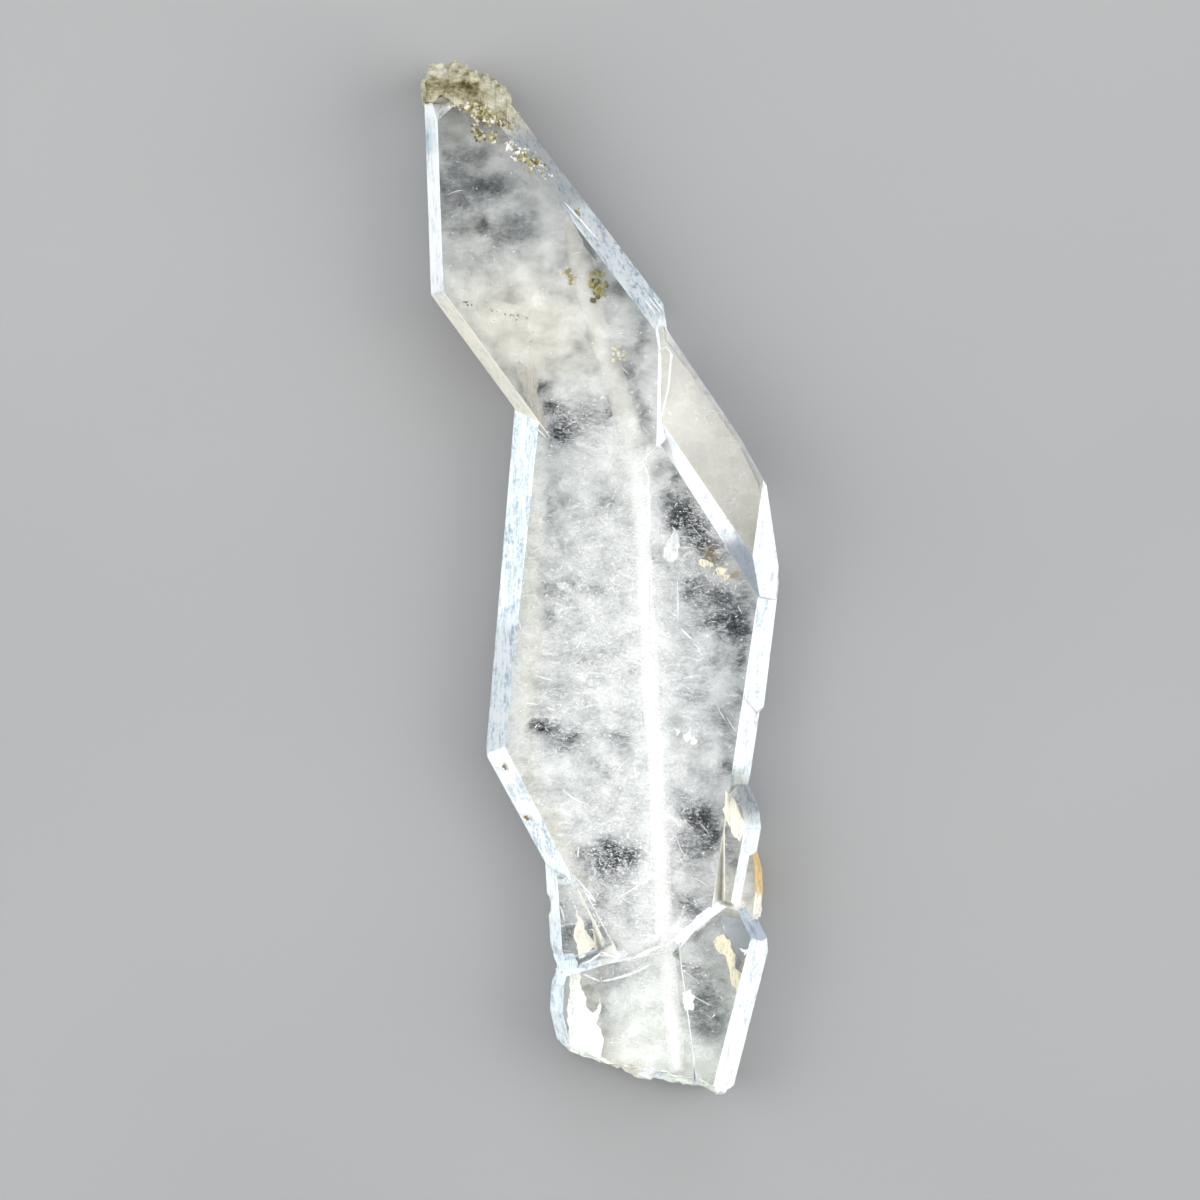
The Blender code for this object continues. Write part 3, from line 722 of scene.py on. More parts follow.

# %% Spots on the veils, in millimetres
# Painted shade: where the quartz is clear, dark windows stand in for a dark ground seen through it.
PAINTED_DARK_WINDOWS = [
    # top crystal
    (-10.20, 28.70, 0.48, 0.34, 0, 0.45), (-9.38, 27.27, 0.41, 0.27, 0, 0.45),
    (-7.62, 26.59, 1.85, 0.95, -4, 0.60), (-7.20, 26.10, 1.25, 0.65, 8, 0.25),
    (-6.94, 27.06, 0.61, 0.27, 0, 0.35), (-10.61, 26.38, 0.27, 0.75, 0, 0.55),
    (-9.45, 25.30, 0.82, 0.20, 5, 0.35), (-7.89, 23.73, 0.54, 0.41, 0, 0.60),
    (-5.70, 24.10, 0.95, 0.60, 0, 0.30), (-5.85, 23.32, 1.40, 0.80, 6, 0.52),
    (-4.60, 24.60, 0.80, 0.50, 0, 0.16), (-9.32, 23.53, 1.22, 0.20, -8, 0.45),
    (-9.86, 24.62, 0.82, 2.72, 0, 0.20), (-8.50, 28.70, 1.77, 0.54, 0, 0.32),
    (-8.90, 26.20, 2.2, 1.1, 0, 0.30), (-7.60, 23.70, 2.3, 0.8, -4, 0.32),
    (-8.60, 25.30, 3.2, 2.6, 0, 0.20), (-5.60, 26.00, 0.9, 2.0, 0, 0.12), (-9.60, 27.90, 1.2, 1.0, 0, 0.28),
    (-8.20, 21.60, 2.0, 0.9, 0, 0.14), (-7.60, 30.20, 2.4, 1.2, 0, 0.12),
    (-0.27, 22.64, 0.48, 0.95, 35, 0.40), (1.29, 19.65, 0.61, 0.75, 0, 0.50),
    (2.79, 16.80, 0.54, 1.36, 0, 0.35), (-6.46, 21.90, 1.09, 0.54, 0, 0.20),
    # beside the thread
    (1.77, 13.94, 0.48, 0.68, 15, 0.75), (2.38, 12.17, 0.41, 0.61, 15, 0.60),
    (3.06, 10.88, 0.41, 0.88, 10, 0.75), (3.33, 9.72, 0.34, 0.82, 8, 0.60),
    (2.79, 15.78, 0.41, 0.95, 0, 0.35),
    # upper part of the middle crystal
    (-3.88, 12.78, 0.75, 0.61, -10, 0.90), (-3.33, 11.36, 0.68, 0.54, 0, 0.95),
    (-2.86, 9.59, 0.92, 0.75, 0, 0.85), (-1.90, 10.34, 1.77, 1.22, 0, 0.56),
    (-0.27, 10.95, 1.36, 0.82, 0, 0.35), (0.61, 11.08, 0.41, 0.61, 0, 0.70),
    (-4.96, 12.38, 0.48, 1.63, 18, 0.35), (-4.15, 10.34, 0.48, 1.09, 25, 0.30),
    (-3.47, 5.44, 0.34, 1.36, 0, 0.45), (-3.26, 4.22, 0.61, 0.82, 0, 0.30),
    (0.88, 5.10, 1.36, 0.95, 0, 0.40), (1.36, 4.42, 0.82, 0.54, 0, 0.30),
    # wedge right of the thread
    (3.74, 7.55, 0.54, 0.82, 0, 0.40), (5.17, 6.94, 0.61, 0.61, 0, 0.70), (4.49, 5.24, 0.68, 0.68, 0, 0.60),
    (5.71, 4.69, 0.98, 1.05, 0, 1.00), (4.76, 3.67, 0.82, 0.54, 0, 0.85),
    (6.53, 3.26, 0.75, 0.95, 30, 1.00), (5.44, 2.18, 0.54, 0.34, 0, 0.60),
    (7.55, 1.63, 1.02, 0.82, -30, 0.95), (6.80, 2.18, 0.54, 0.41, 0, 0.60),
    (6.12, -0.41, 1.09, 0.54, 0, 0.50), (8.43, -1.30, 1.60, 0.80, -20, 0.70),
    (7.75, -2.99, 1.20, 0.85, 0, 0.62), (8.60, -2.60, 1.7, 1.5, 0, 0.40), (9.50, -3.30, 0.70, 1.2, 0, 0.70),
    (6.0, 3.2, 1.2, 1.4, 30, 0.45), (6.00, -1.80, 1.8, 1.6, 0, 0.16), (6.60, -6.20, 1.9, 2.2, 0, 0.14),
    (9.40, -5.60, 0.5, 1.4, 0, 0.35), (7.90, -9.60, 1.2, 1.6, 0, 0.22), (7.20, -13.60, 1.4, 1.0, 0, 0.10),
    (9.32, -3.33, 0.80, 0.75, 0, 0.85), (6.46, -1.43, 0.95, 0.68, 0, 0.55),
    (9.59, -5.64, 0.41, 0.88, 0, 0.70), (8.30, -5.78, 0.68, 0.82, 0, 0.35),
    (6.39, -8.16, 0.95, 0.68, 0, 0.40), (9.30, -8.20, 0.50, 1.20, 0, 0.35),
    # middle
    (-2.58, -0.68, 1.90, 0.60, 0, 0.45), (-3.30, -2.72, 0.80, 0.88, 0, 0.40),
    (-3.50, -1.56, 0.50, 0.95, 0, 0.18), (0.00, -0.88, 0.95, 0.41, 0, 0.30),
    (-3.74, -10.20, 1.16, 0.61, -10, 0.85), (-4.62, -10.00, 0.54, 0.41, 0, 0.70),
    (-1.97, -10.74, 0.60, 0.70, 0, 0.60), (-2.40, -11.10, 1.50, 0.80, 0, 0.34),
    (0.61, -10.54, 1.10, 0.60, 0, 0.50), (1.84, -10.95, 0.80, 0.60, 0, 0.45),
    (-1.70, -5.64, 1.22, 0.82, 0, 0.18), (-2.72, -7.68, 0.95, 0.54, 0, 0.20),
    (-0.68, -13.12, 1.50, 0.82, 0, 0.20),
    # lower right part of the middle crystal
    (8.64, -10.68, 0.61, 1.36, 10, 0.45), (8.50, -12.78, 0.48, 0.61, 0, 0.80),
    (5.71, -14.82, 0.68, 0.54, 0, 0.40), (6.80, -16.40, 1.45, 1.15, 0, 0.95),
    (5.90, -18.90, 1.0, 1.4, 0, 0.40), (7.62, -17.48, 0.82, 0.82, 0, 0.85),
    (5.51, -18.22, 0.61, 0.82, 0, 0.50), (8.84, -18.97, 0.54, 0.95, 0, 0.50),
    (6.12, -11.08, 0.95, 0.54, 0, 0.30), (7.21, -18.56, 0.95, 0.68, 0, 0.50),
    # lower left part of the middle crystal
    (-0.60, -18.35, 1.10, 0.50, 0, 0.55), (0.82, -18.35, 1.60, 0.60, -8, 0.85),
    (-1.02, -18.97, 0.70, 0.60, 0, 0.50), (1.09, -19.25, 1.80, 0.75, 6, 0.85),
    (0.90, -20.50, 1.60, 0.80, 0, 0.42), (-2.72, -22.30, 0.41, 0.68, 0, 0.50),
    (-0.20, -22.10, 1.0, 1.2, 0, 0.32), (-2.31, -24.34, 0.61, 1.09, -10, 0.60),
    (-0.41, -23.60, 0.61, 0.82, 0, 0.65), (0.00, -24.34, 0.95, 0.68, 0, 0.50),
    (1.09, -25.30, 0.95, 0.41, -20, 0.50), (-0.20, -25.43, 0.61, 0.27, -30, 0.60),
    (-1.70, -16.52, 0.68, 0.54, 0, 0.35),
    # right foot
    (5.85, -22.17, 0.95, 0.90, 0, 0.68), (6.32, -22.85, 0.68, 0.55, 0, 0.50),
    (7.82, -21.56, 0.68, 0.50, 0, 0.35), (5.71, -24.89, 0.68, 0.27, 40, 0.60),
    (6.73, -24.41, 0.68, 0.27, 40, 0.60), (5.98, -26.86, 0.68, 0.54, 0, 0.65),
    (6.90, -28.15, 1.60, 1.90, 0, 0.42), (7.40, -30.60, 1.40, 2.20, 0, 0.56),
    (6.66, -28.76, 0.68, 1.36, 0, 0.30), (7.82, -32.57, 0.82, 0.82, 0, 0.50),
    (9.93, -24.28, 0.88, 1.36, -15, 0.36), (9.52, -26.18, 0.54, 0.68, 0, 0.45),
    (6.30, -31.50, 0.7, 1.4, 0, 0.32),
    # left foot
    (1.56, -27.40, 1.20, 0.60, 30, 0.45), (1.00, -26.40, 1.3, 0.6, 15, 0.45),
    (0.40, -28.76, 0.40, 1.20, 0, 0.25), (0.88, -31.69, 0.82, 0.68, 0, 0.45),
    (0.48, -29.85, 0.54, 0.68, 0, 0.35), (2.72, -27.74, 0.34, 0.68, 0, 0.25),
]
CREAM_TINTS = [
    (-6.5, 18.8, 4.1, 3.4, 0, 0.50), (-4.1, 16.1, 3.4, 3.1, 0, 0.60), (-8.8, 23.6, 2.0, 0.8, 0, 0.40),
    (-2.7, 16.1, 2.0, 2.7, 0, 0.35), (-4.6, 1.2, 0.8, 6.8, 0, 0.50), (-4.8, -8.4, 0.8, 7.5, 0, 0.50),
    (-3.7, -19.2, 1.2, 2.7, 0, 0.70), (9.7, -25.4, 1.1, 2.7, 0, 0.90), (9.2, -22.3, 0.8, 0.8, 0, 0.60),
    (8.5, -20.6, 0.5, 1.0, 0, 0.40), (-0.8, -29.4, 1.0, 3.4, 0, 0.60), (6.1, 10.7, 1.4, 4.1, 0, 0.50),
    (5.4, 14.1, 1.4, 2.7, 0, 0.40), (-9.5, 30.4, 4.1, 2.7, 0, 0.35), (8.2, 0.5, 1.1, 0.5, -25, 0.80),
    (9.6, -16.6, 0.8, 1.6, 0, 0.90), (-1.4, -20.8, 1.2, 0.9, 0, 0.40), (-3.4, -16.9, 0.8, 4.6, 28, 0.60),
]
# Partly real milk and partly painted glow: at the broken foot and along the thread, the white stands in for
# light shining through.
WHITE_MILK_AND_GLOW = [
    (4.8, 2.0, 0.6, 0.8, 0, 0.9), (2.6, 8.4, 1.6, 1.9, 0, 0.9), (4.2, -24.6, 2.2, 0.8, 12, 0.9),
    (2.2, -25.3, 2.6, 0.5, 8, 0.7), (5.9, -10.9, 0.9, 0.5, 20, 0.5), (1.4, -31.8, 2.9, 1.8, 0, 0.5),
    (-1.2, -31.6, 0.8, 2.2, 0, 0.7), (3.0, -33.2, 4.8, 1.1, -12, 1.0), (-4.45, 2.8, 0.58, 7.5, -2, 0.72),
    (-5.25, -8.5, 0.62, 5.2, -7, 0.80), (-3.6, -17.1, 0.6, 4.6, 28, 0.75), (-1.0, 7.0, 3.0, 1.0, 0, 0.30),
    (1.7, 5.6, 0.9, 4.2, -4, 0.42), (0.3, 9.5, 1.3, 0.8, 0, 0.50), (3.2, -27.6, 1.5, 2.0, 0, 0.50),
    (7.4, -33.4, 3.0, 1.3, -12, 1.0), (-4.75, -2.0, 0.6, 3.0, -4, 0.50), (-2.3, -28.6, 0.8, 1.6, 0, 0.60),
    (-5.9, -6.5, 0.7, 4.0, -4, 0.75), (-2.6, -15.6, 0.7, 3.2, 28, 0.65), (9.2, -21.8, 1.2, 1.2, 0, 0.70),
    (9.4, -23.4, 0.9, 0.9, 0, 0.40), (-1.0, -26.6, 1.6, 0.9, 0, 0.55), (3.6, -25.4, 2.0, 1.1, 10, 0.80),
    (3.0, -30.6, 1.8, 2.6, 0, 0.70), (7.0, -32.9, 1.6, 1.3, 0, 0.60), (4.9, -29.5, 0.9, 5.0, 6, 0.8),
    (-8.0, 17.6, 3.0, 1.2, -42, 0.35), (-5.5, 17.5, 3.2, 2.4, 0, 0.30),
]
CRISP_PARTS = [
    (0.5, -4.0, 9.5, 14.0, 0, 1.0), (2.0, -20.0, 7.0, 7.0, 0, 1.0), (7.0, 2.5, 3.2, 4.0, 0, 1.0),
    (-1.5, 10.3, 3.0, 1.8, 0, 0.8), (4.5, -28.0, 6.0, 6.0, 0, 0.5),
]

# %% [markdown]
# Painting is a sum of soft ovals. The place is first pushed about by a little noise, so that no
# spot keeps a neat rim. Red holds how milky a point is, green how creamy, blue how crisp the
# flecks are and alpha how mottled it is. Low milk is a painted dark window. The wing on the right is
# one even cream, up to the bevel that runs down it, and it is painted lighter towards its outer
# edge: painted light against the shade near that edge.

# %% Paint spots onto points
RIM_WANDER = 0.45
COARSE_WAVES, COARSE_LAYER = 0.9, 3.0
FINE_WAVES, FINE_LAYER = 2.6, 7.0
FINE_SHARE = 0.5
SPOT_REACH = 2.2
SPOT_CELL = 2.0
SPOT_FALL = 1.1
PLAIN_MILK = 0.665
WING_MILK = 0.80
WING_LINE = ((3.90, 10.00), (10.90, -0.90))
WING_LEFT = 4.05
WING_TOP = 17.4
# Painted light: the wing grows lighter towards its outer edge, against the shade there.
WING_OUTER_LIGHT = 1.10
WING_WIDTH = 5.0
WING_CREAM = 0.62
WING_HOLD = 0.85
WING_LESS_CRISP = 0.8
WING_LESS_MOTTLED = 0.55
CLOUD_MILK = 0.1
GLOW_WIDTH = 0.95
GLOW_PER_RADIUS = 0.3
TOP_GLOW = 0.45
GLOW_MILK = 0.55


def cells_near(middle, reach):
    """The numbers of the cells that a stretch touches."""
    return range(math.floor((middle - reach) / SPOT_CELL), math.floor((middle + reach) / SPOT_CELL) + 1)


def by_cell(spots):
    """Sort spots into square cells, so that a point only has to look at those near it."""
    cells = {}
    for spot in spots:
        reach = SPOT_REACH * max(spot[2], spot[3])
        for column in cells_near(spot[0], reach):
            for row in cells_near(spot[1], reach):
                cells.setdefault((column, row), []).append(spot)
    return cells


def soft_sum(x, y, cells):
    """How much the spots cover a point, 0 to 1."""
    bare = 1.0
    near = cells.get((x // SPOT_CELL, y // SPOT_CELL), ())
    for middle_x, middle_y, half_x, half_y, turn, strength in near:
        across = x - middle_x
        along = y - middle_y
        c = math.cos(math.radians(turn))
        s = math.sin(math.radians(turn))
        far = ((across * c + along * s) / half_x) ** 2 + ((along * c - across * s) / half_y) ** 2
        bare *= 1.0 - strength * math.exp(-SPOT_FALL * far)
    return 1.0 - bare


PAINTED_DARK_CELLS, WHITE, CREAM_SPOTS, CRISP = map(by_cell, (PAINTED_DARK_WINDOWS, WHITE_MILK_AND_GLOW, CREAM_TINTS, CRISP_PARTS))
print("cells with smoky windows:", len(PAINTED_DARK_CELLS))


def past_wing_line(x, y):
    """How far a place is beyond the wing's inner bevel, in millimetres."""
    start = WING_LINE[0]
    side = outward(*WING_LINE)
    return (x - start[0]) * side.x + (y - start[1]) * side.y


def on_wing(x, y):
    """1 on the wing, 0 beside it."""
    inside = x > WING_LEFT and WING_LINE[1][1] < y < WING_TOP
    return 1.0 if inside and past_wing_line(x, y) > 0.0 else 0.0


def thread_glow(x, y):
    """Painted glow along the thread, partly real milk: brighter below the notch than in the top crystal."""
    middle, _, radius = thread_at(y)
    strength = TOP_GLOW if y > NOTCH[0][1] else 1.0
    return strength * math.exp(-((x - middle) / (GLOW_WIDTH + GLOW_PER_RADIUS * radius)) ** 2)


def drift(x, y, waves, layer):
    """A noise vector at a place, with so many waves to a millimetre."""
    return noise.noise_vector(Vector((x * waves, y * waves, layer)))


def within(value):
    """A value held between 0 and 1."""
    return min(1.0, max(0.0, value))


def veil_paint(x, y):
    """Milkiness, cream, crispness and mottling at a place, given in millimetres."""
    wing = on_wing(x, y)
    wing_milk_and_light = WING_MILK + (WING_OUTER_LIGHT - WING_MILK) * within(past_wing_line(x, y) / WING_WIDTH)
    push = drift(x, y, COARSE_WAVES, COARSE_LAYER)
    fine = drift(x, y, FINE_WAVES, FINE_LAYER)
    x += RIM_WANDER * (push.x + FINE_SHARE * fine.x)
    y += RIM_WANDER * (push.y + FINE_SHARE * fine.y)
    # How far a point lies in a painted dark window.
    painted_dark = soft_sum(x, y, PAINTED_DARK_CELLS)
    white = max(soft_sum(x, y, WHITE), GLOW_MILK * thread_glow(x, y))
    milk = PLAIN_MILK * (1.0 - painted_dark) * (1.0 - white) + white + CLOUD_MILK * (1.0 - painted_dark) * push.z
    cream = soft_sum(x, y, CREAM_SPOTS)
    crisp = soft_sum(x, y, CRISP)
    milk += (wing_milk_and_light - milk) * WING_HOLD * wing
    cream += (WING_CREAM - cream) * wing
    crisp *= 1.0 - WING_LESS_CRISP * wing
    return within(milk), cream, crisp, 1.0 - WING_LESS_MOTTLED * wing


# %% Cut the veils to the crystal's inside
VEIL_INSET = 0.12
VEIL_CELL = 0.30
VEIL_THICK = 0.03
VEIL_HALF_X = 13.0
VEIL_HALF_Y = 36.5
SWELL_WAVES = (0.22, 0.22, 1.0)
CRINKLE_WAVES = (0.9, 0.9, 1.0)
CRINKLE = 0.12
TOP_RISE_FROM = 6.0
TOP_RISE_TO = 11.0


def veil(name, level, top_rise, wave, material):
    """A wavy thin sheet, trimmed by the inside of the group and painted."""
    columns = round(2 * VEIL_HALF_X / VEIL_CELL)
    rows = round(2 * VEIL_HALF_Y / VEIL_CELL)
    bm = bmesh.new()
    bmesh.ops.create_grid(bm, x_segments=columns, y_segments=rows, size=1.0)
    for vert in bm.verts:
        x = vert.co.x * VEIL_HALF_X
        y = vert.co.y * VEIL_HALF_Y
        climb = within((y - TOP_RISE_FROM) / (TOP_RISE_TO - TOP_RISE_FROM))
        swell = wave * waves((x, y, level), SWELL_WAVES)
        crinkle = CRINKLE * waves((x, y, level), CRINKLE_WAVES)
        vert.co = Vector((x, y, level + top_rise * climb + swell + crinkle)) * MM
    bmesh.ops.solidify(bm, geom=bm.faces[:], thickness=VEIL_THICK * MM)
    bmesh.ops.recalc_face_normals(bm, faces=bm.faces[:])
    sheet = add_piece("sheet", bm, None)
    inside = add_piece("inside", inner_body.copy(), None)
    combine(sheet, inside, "INTERSECT")
    bm = applied(sheet, [inside])
    layer = bm.verts.layers.float_color.new("veil")
    for vert in bm.verts:
        vert[layer] = veil_paint(vert.co.x / MM, vert.co.y / MM)
    print(name, "faces:", len(bm.faces))
    piece = add_piece(name, bm, material)
    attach(piece, BODY)


inner_body = grown_body(VEIL_INSET)
inside_tree = BVHTree.FromBMesh(inner_body)
print("inner body faces:", len(inner_body.faces))

# %% [markdown]
# The deep veil carries most of the colour: painted dark, grey and milk along one ramp. Its dark end
# is painted shade for a dark ground seen through clear quartz. The flecks push the milkiness up and
# down before it meets the ramp, so they turn dark in the windows and only faintly grey in the milk.
# Crumpled fissures cross it, white in the windows and grey in the milk.
# The two veils above it are nearly clear and hold white mist, flecks and strands only.
#
# Of a pair of numbers called PUSH, the first holds in the milk and the second in a window.

# %% Veil materials
# The dark end of this ramp is painted shade for a dark ground seen through clear quartz; the light end is
# real milk.
PAINTED_DARK_TO_MILK = [
    (0.00, (0.032, 0.036, 0.042)), (0.20, (0.095, 0.105, 0.118)), (0.42, (0.275, 0.290, 0.305)),
    (0.62, (0.525, 0.540, 0.550)), (0.80, (0.775, 0.785, 0.785)), (1.00, (0.940, 0.945, 0.935)),
]
CREAM = (1.0, 0.945, 0.815, 1.0)
COOL = (0.980, 0.992, 1.0, 1.0)
PALE_GREEN = (0.965, 1.0, 0.945, 1.0)
COLD_WHITE = (0.95, 0.96, 0.965, 1.0)
WARM_WHITE = (0.96, 0.94, 0.87, 1.0)
COLD_WISP = (0.96, 0.97, 0.975, 1.0)
WARM_WISP = (0.96, 0.95, 0.90, 1.0)
GREEN_FROM = -23.0
GREEN_TO = -29.0
DARKEST_PAINTED = 0.15
MILKIEST = 0.9
FINE_GRAIN, MICRO_GRAIN, CLOUD_GRAIN, FISSURE_GRAIN = 2.4, 6.5, 0.8, 1.7
MIST_GRAIN, MIST_FLECK_GRAIN, SPECK_GRAIN = 0.6, 3.4, 4.4
STRAND_GRAIN, WISP_CLOUD_GRAIN = 0.5, 0.7
LIVELY = (0.32, 1.0)
FLECK_PUSH = (0.36, 1.25)
MICRO_PUSH = 0.70
FISSURE_PUSH = (-0.14, 0.20)
CLOUD_PUSH = 0.14
MIST_LIVELY = (0.15, 0.8)
MIST_RANGE = (0.05, 1.55)
MIST_COVER = (0.0, 0.60)
CRISP_FROM = 0.1
SPECK_RANGE = (0.72, 0.84)
SPECK_COVER = (0.0, 0.90)
WISP_RANGE = (0.45, 0.85)
WISP_COVER = (0.0, 0.35)
WHITE_SHADOW = (0.95, 0.80)
WISP_SHADOW = (0.97, 0.97, 0.97, 1.0)
PATCH_SHADOW = (0.50, 0.50, 0.50, 1.0)
FILM_SHADOW = (0.35, 0.35, 0.35, 1.0)


def veil_shader(tree, output, colour, alpha, lamp_colour=None):
    """A dull see-through sheet. Sealed in quartz it mirrors nothing, so it has no specular."""
    surface = principled(tree, {
        "Base Color": colour, "Alpha": alpha, "Roughness": 0.9, "Specular IOR Level": 0.0,
    })
    if lamp_colour:
        surface = lamp_short_cut(tree, surface, lamp_colour)
    finish(tree, output, surface)


def veil_inputs(tree):
    """How milky, creamy, crisp and mottled the veil is painted."""
    colour, mottle = painted(tree, "veil")
    return channels(tree, colour) + [mottle]


def swing(tree, group, grain):
    """A pattern that swings about 0, so that it pushes a tone both up and down."""
    return calc(tree, "SUBTRACT", pattern(tree, group, grain), 0.5)


def deep_veil_material():
    material, tree, output = new_material("deep_veil")
    milk, cream, crisp, mottle = veil_inputs(tree)
    # How far into a painted dark window a point is.
    window = spread(tree, milk, PLAIN_MILK, DARKEST_PAINTED)
    lively = spread(tree, crisp, 0.0, 1.0, *LIVELY)
    strength = calc(tree, "MULTIPLY", spread(tree, window, 0.0, 1.0, *FLECK_PUSH), lively)
    strength = calc(tree, "MULTIPLY", strength, mottle)
    fine = swing(tree, FLECKS, FINE_GRAIN)
    flecks = calc(tree, "MULTIPLY_ADD", swing(tree, FLECKS, MICRO_GRAIN), MICRO_PUSH, fine)
    flecked = calc(tree, "MULTIPLY_ADD", flecks, strength, milk)
    change = calc(tree, "MULTIPLY", spread(tree, window, 0.0, 1.0, *FISSURE_PUSH), crisp)
    cracked = calc(tree, "MULTIPLY", pattern(tree, FISSURES, FISSURE_GRAIN), change)
    soft = calc(tree, "MULTIPLY", swing(tree, CLOUDS, CLOUD_GRAIN), mottle)
    soft = calc(tree, "MULTIPLY_ADD", soft, CLOUD_PUSH, cracked)
    tone = ramp(tree, calc(tree, "ADD", soft, flecked, clamp=True), PAINTED_DARK_TO_MILK)
    low = spread(tree, place_on(tree, "Y"), GREEN_FROM * MM, GREEN_TO * MM)
    tint = blend(tree, cream, blend(tree, low, COOL, PALE_GREEN), CREAM)
    veil_shader(tree, output, blend(tree, 1.0, tone, tint, "MULTIPLY"), 1.0)
    return material


def white_veil_material():
    material, tree, output = new_material("white_veil")
    milk, cream, crisp, mottle = veil_inputs(tree)
    soft = calc(tree, "MULTIPLY_ADD", swing(tree, CLOUDS, MIST_GRAIN), mottle, 0.5)
    lively = spread(tree, crisp, 0.0, 1.0, *MIST_LIVELY)
    lively = calc(tree, "MULTIPLY", pattern(tree, FLECKS, MIST_FLECK_GRAIN), lively)
    mist = spread(tree, calc(tree, "ADD", soft, lively), *MIST_RANGE)
    mist = calc(tree, "MULTIPLY", mist, spread(tree, milk, DARKEST_PAINTED, MILKIEST, *MIST_COVER))
    specks = spread(tree, pattern(tree, FLECKS, SPECK_GRAIN), *SPECK_RANGE)
    specks = calc(tree, "MULTIPLY", specks, spread(tree, crisp, CRISP_FROM, 1.0, *SPECK_COVER))
    cover = calc(tree, "MAXIMUM", mist, specks)
    colour = blend(tree, cream, COLD_WHITE, WARM_WHITE)
    shadow = spread(tree, milk, DARKEST_PAINTED, MILKIEST, *WHITE_SHADOW)
    veil_shader(tree, output, colour, cover, shadow)
    return material


def high_wisp_material():
    material, tree, output = new_material("high_wisps")
    _, cream, crisp, _ = veil_inputs(tree)
    patches = spread(tree, pattern(tree, CLOUDS, WISP_CLOUD_GRAIN), *WISP_RANGE)
    cover = calc(tree, "MULTIPLY", pattern(tree, STRANDS, STRAND_GRAIN), patches)
    cover = calc(tree, "MULTIPLY", cover, spread(tree, crisp, CRISP_FROM, 1.0, *WISP_COVER))
    colour = blend(tree, cream, COLD_WISP, WARM_WISP)
    veil_shader(tree, output, colour, cover, WISP_SHADOW)
    return material


# %% The three veils: height, rise towards the top crystal and swell, in millimetres
veil("deep_veil", 2.30, 0.30, 0.20, deep_veil_material())
veil("white_veil", 3.25, 0.95, 0.25, white_veil_material())
veil("high_wisps", 3.95, 1.25, 0.30, high_wisp_material())

# %% [markdown]
# ## Slivers and strands
#
# Close up, the veils are made of tiny flat bubbles and healed cracks. Noise alone makes them look
# printed, so real slivers are sown through the depth of the quartz: small stretched balls, most of
# them crosswise to the thread, and longer ones that are bowed like a hair. They are opaque and
# white, which is enough at this size. A ray cast straight up tells whether a place is inside.

# %% Sow slivers through the quartz
SLIVER_SEED = 7
SLIVERS = 1250
HAIRS = 48
SOWN_FROM = (-10.5, -33.0, 2.55)
SOWN_TO = (11.5, 31.0, 5.6)
ROOF = 0.15
WING_SHARE = 0.04
STRAY_SHARE = 0.04
DARK_SHARE = 0.35
SHORTEST_SLIVER, SLIVER_SPARE, LONG_ONES_RARE = 0.08, 0.30, 2.5
SLIVER_WIDTHS = (0.030, 0.090)
SLIVER_TURNS, OTHER_SLIVER_TURNS = (28.0, 30.0), (-42.0, 22.0)
SLIVER_TURN_SHARE = 0.65
HAIR_LENGTHS = (0.5, 1.7)
HAIR_WIDTHS = (0.025, 0.05)
LEFT_HAIR_TURNS, RIGHT_HAIR_TURNS = (24.0, 22.0), (-45.0, 16.0)
HAIR_BOW = 0.08


def is_inside(x, y, z):
    """True inside the inner body: the first face above the place points up."""
    hit, normal, _, _ = inside_tree.ray_cast(Vector((x, y, z)) * MM, Vector((0.0, 0.0, 1.0)))
    return hit is not None and normal.z > 0.0


def kept_shape(name, bm):
    """Keep a small finished shape as mesh data, to be copied from."""
    data = bpy.data.meshes.new(name)
    bm.to_mesh(data)
    bm.free()
    return data


bm = bmesh.new()
bmesh.ops.create_icosphere(bm, subdivisions=1, radius=1.0)
BALL = kept_shape("ball", bm)
bm = bmesh.new()
bmesh.ops.create_uvsphere(bm, u_segments=5, v_segments=9, radius=1.0)
SPINDLE = kept_shape("spindle", bm)

# %% Place copies
FLECK_GRAIN = 1.2
FLECK_TONES = [(0.0, (0.80, 0.82, 0.84)), (0.6, (0.97, 0.97, 0.96))]
LIES_ALONG = Matrix.Rotation(math.pi / 2, 4, "Y")
DOWN = Vector((0.0, 0.0, -1.0))
STRAIGHT = Vector((0.0, 0.0, 0.0))
PLAIN_TONE = (1.0, 1.0, 1.0, 1.0)
BATCH = 50


def laid(place, length, width, turn):
    """A matrix that draws a ball out along a direction."""
    lies = Matrix.Translation(Vector(place)) @ Matrix.Rotation(turn, 4, "Z")
    return lies @ Matrix.Diagonal((length / 2, width / 2, width / 2, 1.0))


def sliver(place, length, width, turn):
    """A small drawn-out ball: its mesh, matrix, bow and tone."""
    return BALL, laid(place, length, width, turn), STRAIGHT, PLAIN_TONE


def hair(place, length, width, turn, bow, tone=PLAIN_TONE):
    """A long thin ball, bowed sideways."""
    sideways = Matrix.Rotation(turn, 3, "Z") @ Vector((0.0, bow, 0.0))
    return SPINDLE, laid(place, length, width, turn) @ LIES_ALONG, sideways, tone


def append(whole, part):
    """Add one bmesh to another and let the first one go."""
    data = bpy.data.meshes.new("part")
    part.to_mesh(data)
    part.free()
    whole.from_mesh(data)
    bpy.data.meshes.remove(data)


